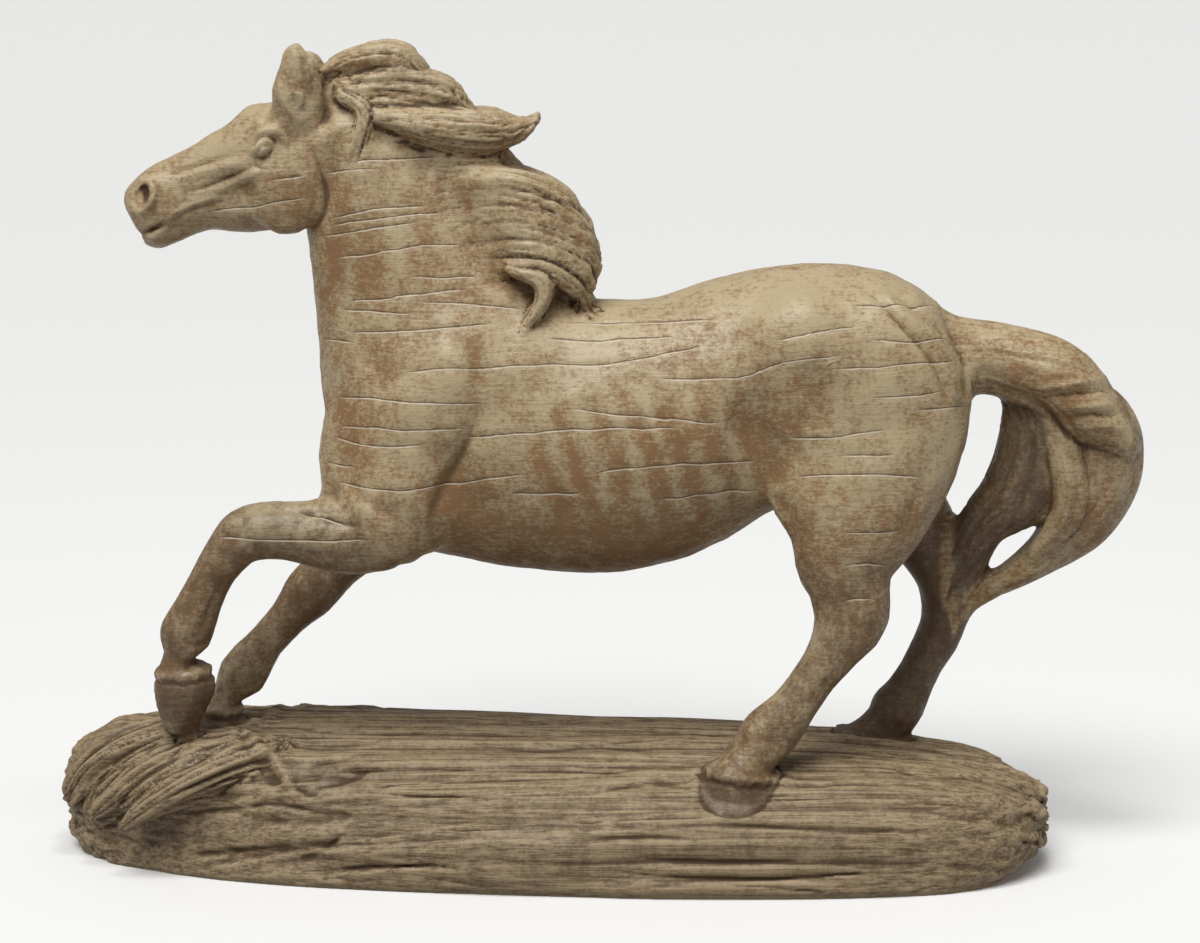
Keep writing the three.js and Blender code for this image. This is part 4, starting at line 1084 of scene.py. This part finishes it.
def soft_ovals(patches):
    """The sum of a named set of soft ovals at each point."""
    total = np.zeros(len(skin))
    for column, row, wide, high, amount in patches.values():
        near = np.hypot((side_seen[:, 0] - column) / wide, (side_seen[:, 1] - row) / high)
        total += amount * np.exp(-(near**2))
    return total


wash_and_light_bias = soft_ovals(WASH_AND_PAINTED_LIGHT) * bare
# Painted shade: browner low on the body and down the legs
wash_and_light_bias += 0.3 * soft_step(z, 128, 96) * bare
print(len(WASH_AND_PAINTED_LIGHT), "patches of wash")

# %% Lay out the heavier coat and the painted shade
CURTAIN = TAIL[2]
curtain_at, _, curtain_out = straighten(skin, CURTAIN, 1.6)
# A real heavier coat on the hooves and the log; in the hair's creases it is brown wash and painted shade
# at once, and along each foot's seam with the log it is painted shade
dark_coat_and_shade = 0.55 * creased + 0.3 * hooves + 0.28 * log_share + 0.4 * foot_edge
# Painted shade at the knot and under the rope ends, and a faint darker band low along the front
LOG_PAINTED_SHADE = {
    "knot": (335, 778, 55, 18, 0.3),
    "rope_end": (150, 836, 70, 16, 0.2),
    "front": (560, 856, 400, 24, 0.12),
}
dark_coat_and_shade += soft_ovals(LOG_PAINTED_SHADE) * log_share
# Painted shade in the eye's hollow
dark_coat_and_shade += 0.4 * face * soft_step(eye_gap, 1.5, 0.9)
FLANK_KNOT = {"spot": (738, 386, 4.5, 3.5, 0.9)}
dark_coat_and_shade += soft_ovals(FLANK_KNOT) * bare
# Painted shade inside the tail's curtain, below the band
painted_curtain_shade = soft_step(curtain_out, 1.3, 0.8) * soft_step(skin[curtain_at, 2], 168, 158)
dark_coat_and_shade[curtain_at] += 1.1 * painted_curtain_shade
# Painted shadow on the far hind leg, under the body
far_hindleg_shadow = soft_step(y, 2, 12) * soft_step(z, 140, 110) * soft_step(x, 70, 85) * bare
dark_coat_and_shade += 0.4 * far_hindleg_shadow
# Painted shade on the legs, darker low down
legs_painted_shade = np.maximum(soft_step(z, 130, 106), soft_step(z, 142, 126) * soft_step(x, -66, -84)) * bare
# Painted shade on the back of the ear
EAR_BACK_SHADE = {"shade": (311, 82, 9, 26, 0.55)}
dark_coat_and_shade += 0.55 * legs_painted_shade + face * soft_ovals(EAR_BACK_SHADE)
print("heavier coat on", int((dark_coat_and_shade > 0.4).sum()), "points")

# %% [markdown]
# ## Making the carved skin
# The net moves out or in along its normals. Then it is thinned: flat places keep few triangles
# and carved ones keep many, so that the piece stays light. What the paint needs to know about
# each place rides along as named values on the points.

# %% Move, thin and name
carved = skin + lift[:, None] * out
carved[:, 2] = np.maximum(carved[:, 2], 0)
carved[underside > 0.9, 2] = 0
broad_form = settle(carved, 24)
raised_by = np.einsum("ij,ij->i", carved - broad_form, out)  # above the broad form, or below it
TRIANGLES = 197000


def name_values(name, values):
    """A named value on each point for the paint to read."""
    layer = figure.data.attributes.new(name, "FLOAT", "POINT")
    layer.data.foreach_set("value", values.astype(np.float32))


name_values("raised", raised_by)
name_values("log_share", log_share)
name_values("dark_coat_and_shade", dark_coat_and_shade)
for channel in range(CHANNELS):
    name_values(f"crack_offset_{channel}", crack_offset[channel])
    name_values(f"crack_near_{channel}", crack_near[channel])
name_values("rib_wave", rib_zone * rib_wave)
name_values("wash_and_light_bias", wash_and_light_bias)
name_values("facing_up", out[:, 2])
figure.data.vertices.foreach_set("co", (carved * METRE).ravel())
figure.data.polygons.foreach_set("use_smooth", np.ones(len(figure.data.polygons), dtype=bool))
figure.data.update()
thinning = figure.modifiers.new("thinning", "DECIMATE")
thinning.ratio = TRIANGLES / (2 * len(figure.data.polygons))
bpy.ops.object.modifier_apply(modifier=thinning.name)
print("carved piece", sum(len(p.vertices) - 2 for p in figure.data.polygons), "triangles")

# %% [markdown]
# ## Writing paint as sums
# Paint nodes are easier to read as sums than as boxes and wires. This small class wraps one
# output of a node, so that adding two of them adds a Math node. Any other node comes from one
# method that takes its kind, its settings and what goes into its sockets.

# %% A class for paint nodes
class Paint:
    """One socket of a material, with Python's operators adding Math nodes."""

    tree = None

    def __init__(self, socket):
        self.socket = socket

    @classmethod
    def node(cls, kind, settings=None, output=0, **values):
        """A node with its settings made first, then its sockets filled or linked by name."""
        made = cls.tree.nodes.new("ShaderNode" + kind)
        for name, setting in (settings or {}).items():
            setattr(made, name, setting)
        for name, value in values.items():
            index = int(name[1:]) if name[0] == "_" else name.replace("_", " ")
            if isinstance(value, cls):
                cls.tree.links.new(value.socket, made.inputs[index])
            else:
                made.inputs[index].default_value = value
        return cls(made.outputs[output])

    @classmethod
    def maths(cls, operation, *terms):
        places = {f"_{number}": term for number, term in enumerate(terms)}
        return cls.node("Math", {"operation": operation}, **places)

    def __add__(self, other):
        return self.maths("ADD", self, other)

    def __sub__(self, other):
        return self.maths("SUBTRACT", self, other)

    def __rsub__(self, other):
        return self.maths("SUBTRACT", other, self)

    def __mul__(self, other):
        return self.maths("MULTIPLY", self, other)

    def __abs__(self):
        return self.maths("ABSOLUTE", self)

    __radd__ = __add__
    __rmul__ = __mul__

    def between(self, low, high):
        """0 at low and 1 at high, eased between; low may be the larger."""
        kind = {"interpolation_type": "SMOOTHSTEP"}
        if low > high:
            return 1 - self.between(high, low)
        return self.node("MapRange", kind, Value=self, From_Min=low, From_Max=high)

    def times(self, sizes):
        """A vector with each direction scaled."""
        return self.node("VectorMath", {"operation": "MULTIPLY"}, _0=self, _1=sizes)


def mixed(share, first, second):
    """One colour laid over another by a share."""
    return Paint.node("Mix", {"data_type": "RGBA"}, 2, _0=share, _6=first, _7=second)


def speckle(place, sizes, detail, rough=0.55):
    """Noise from 0 to 1 with bumps of the given sizes in millimetres."""
    scales = tuple(1000 / size for size in sizes)
    return Paint.node("TexNoise", None, 0, Vector=place.times(scales), Scale=1.0, Detail=detail,
                      Roughness=rough)


def named(name):
    """A value that rides on the points."""
    return Paint.node("Attribute", {"attribute_name": name}, 2)


print("paint class ready")

# %% [markdown]
# ## The paint
# The real finish is three coats: a dark brown in every recess, a warm brown wash that breaks up
# into streaks, and a pale tan dragged over the high places with a dry brush. The same three are
# mixed here, and the dark brown in the recesses is laid on heavier to stand for their shade as well.
# How high a place stands decides most of it, and streaky noise breaks up the edges. The undersides
# get more brown as painted shade, and each crack gets a painted highlight on its lower lip.

# %% Mix the weathered resin
def shade(red, green, blue):
    """A colour picked on a screen, as the shader needs it."""
    parts = [c / 255 for c in (red, green, blue)]
    return tuple(c / 12.92 if c < 0.04045 else ((c + 0.055) / 1.055) ** 2.4 for c in parts) + (1,)


PALE_TAN = shade(178, 160, 126)
GREY_TAN = shade(162, 142, 110)
WARM_BROWN = shade(135, 102, 66)
WOOD_BROWN = shade(97, 76, 51)
DEEP_BROWN = shade(68, 50, 31)
LIP_HIGHLIGHT = shade(214, 201, 178)

resin = bpy.data.materials.new("weathered_resin")
resin.use_nodes = True
Paint.tree = resin.node_tree
shader = resin.node_tree.nodes["Principled BSDF"]
place = Paint.node("TexCoord", None, 3)

raised = named("raised")
on_wood = named("log_share")
ribs = named("rib_wave")
# the brown wash, with painted highlights and painted shade in it
bias = named("wash_and_light_bias")
upward = named("facing_up")
dark_coat_and_shade = named("dark_coat_and_shade")

streaks = speckle(place, (6, 6, 9), 5, 0.75)
patches = speckle(place, (30, 24, 34), 3)
flecks = speckle(place, (1.7, 1.7, 1.2), 4, 0.75)
level_lines = speckle(place, (10, 2.2, 0.8), 3, 0.7)
wood_lines = speckle(place, (60, 0.9, 0.9), 4, 0.7)
mottled = (streaks - 0.5) * 1.7 + (flecks - 0.5) * 2.0 + (level_lines - 0.5) * 1.0
brushed = mottled + (patches - 0.5) * 1.2 + bias * 0.6
# Paler where the surface faces up and browner where it faces down: partly the dry brush catching the
# upper faces, partly painted shade on the undersides
wash = (brushed - raised * 0.4 - ribs * 0.22 - upward * 0.16).between(-0.4, 0.5)
skin_tone = mixed(wash, PALE_TAN, WARM_BROWN)
lines = (wood_lines - 0.5) * 2.2 + (flecks - 0.5) * 0.9 + (streaks - 0.5) * 0.8 - raised * 0.5
wood_tone = mixed(lines.between(-0.4, 0.4), GREY_TAN, WOOD_BROWN)
tone = mixed(on_wood, skin_tone, wood_tone)
# Darker in the hollows: partly the brown wash that gathers there, partly painted shade
hollow_wash_and_shade = (raised + (flecks - 0.5) * 0.3).between(-0.05, -0.8)
# The heavier coat, with the painted shade laid into it, pulls the colour towards the darkest brown
thick_coat_and_shade = (dark_coat_and_shade + (streaks - 0.5) * dark_coat_and_shade * 1.6).between(0, 1)
tone = mixed((hollow_wash_and_shade + thick_coat_and_shade).between(0, 1.15) * 0.85, tone, DEEP_BROWN)
# Each crack is a dark line with a painted highlight below it, for light caught on its lower lip
LINE_REACH = (0.34, 0.08)  # millimetres from a crack where its dark line begins and is full
LIP_PLACE = 0.48  # the pale lip lies this far below it
LIP_REACH = (0.32, 0.1)
dark_line = 0
lip_highlight = 0
for channel in range(CHANNELS):
    offset = named(f"crack_offset_{channel}")
    cracked = named(f"crack_near_{channel}")
    dark_line = abs(offset).between(*LINE_REACH) * cracked + dark_line
    lip_highlight = abs(offset + LIP_PLACE).between(*LIP_REACH) * cracked + lip_highlight
tone = mixed(lip_highlight * 0.7, tone, LIP_HIGHLIGHT)
tone = mixed(dark_line * 0.75, tone, DEEP_BROWN)

tree = resin.node_tree
tree.links.new(tone.socket, shader.inputs["Base Color"])
rough = 0.42 + wash * 0.14 + hollow_wash_and_shade * 0.2 + on_wood * 0.12 + (flecks - 0.5) * 0.2
tree.links.new(rough.socket, shader.inputs["Roughness"])
fibres = (wood_lines - 0.5) * on_wood * 2 + (level_lines - 0.5) * 0.9
height = (flecks - 0.5) * 0.6 + fibres - dark_line * 0.8 + lip_highlight * 0.4
bump = Paint.node("Bump", None, 0, Strength=0.35, Distance=0.0006, Height=height)
tree.links.new(bump.socket, shader.inputs["Normal"])
shader.inputs["Specular IOR Level"].default_value = 0.45
figure.data.materials.clear()
figure.data.materials.append(resin)
print("paint has", len(tree.nodes), "nodes")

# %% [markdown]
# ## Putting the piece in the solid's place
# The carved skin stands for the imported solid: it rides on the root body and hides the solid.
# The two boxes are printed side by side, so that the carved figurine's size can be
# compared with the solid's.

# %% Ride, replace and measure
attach(figure, "root")
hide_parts("horse_figurine")
bpy.context.view_layer.update()
new_low, new_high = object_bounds()
sizes = {"cad": [list(cad_low), list(cad_high)], "visual": [list(new_low), list(new_high)]}
print("sizes", sizes)
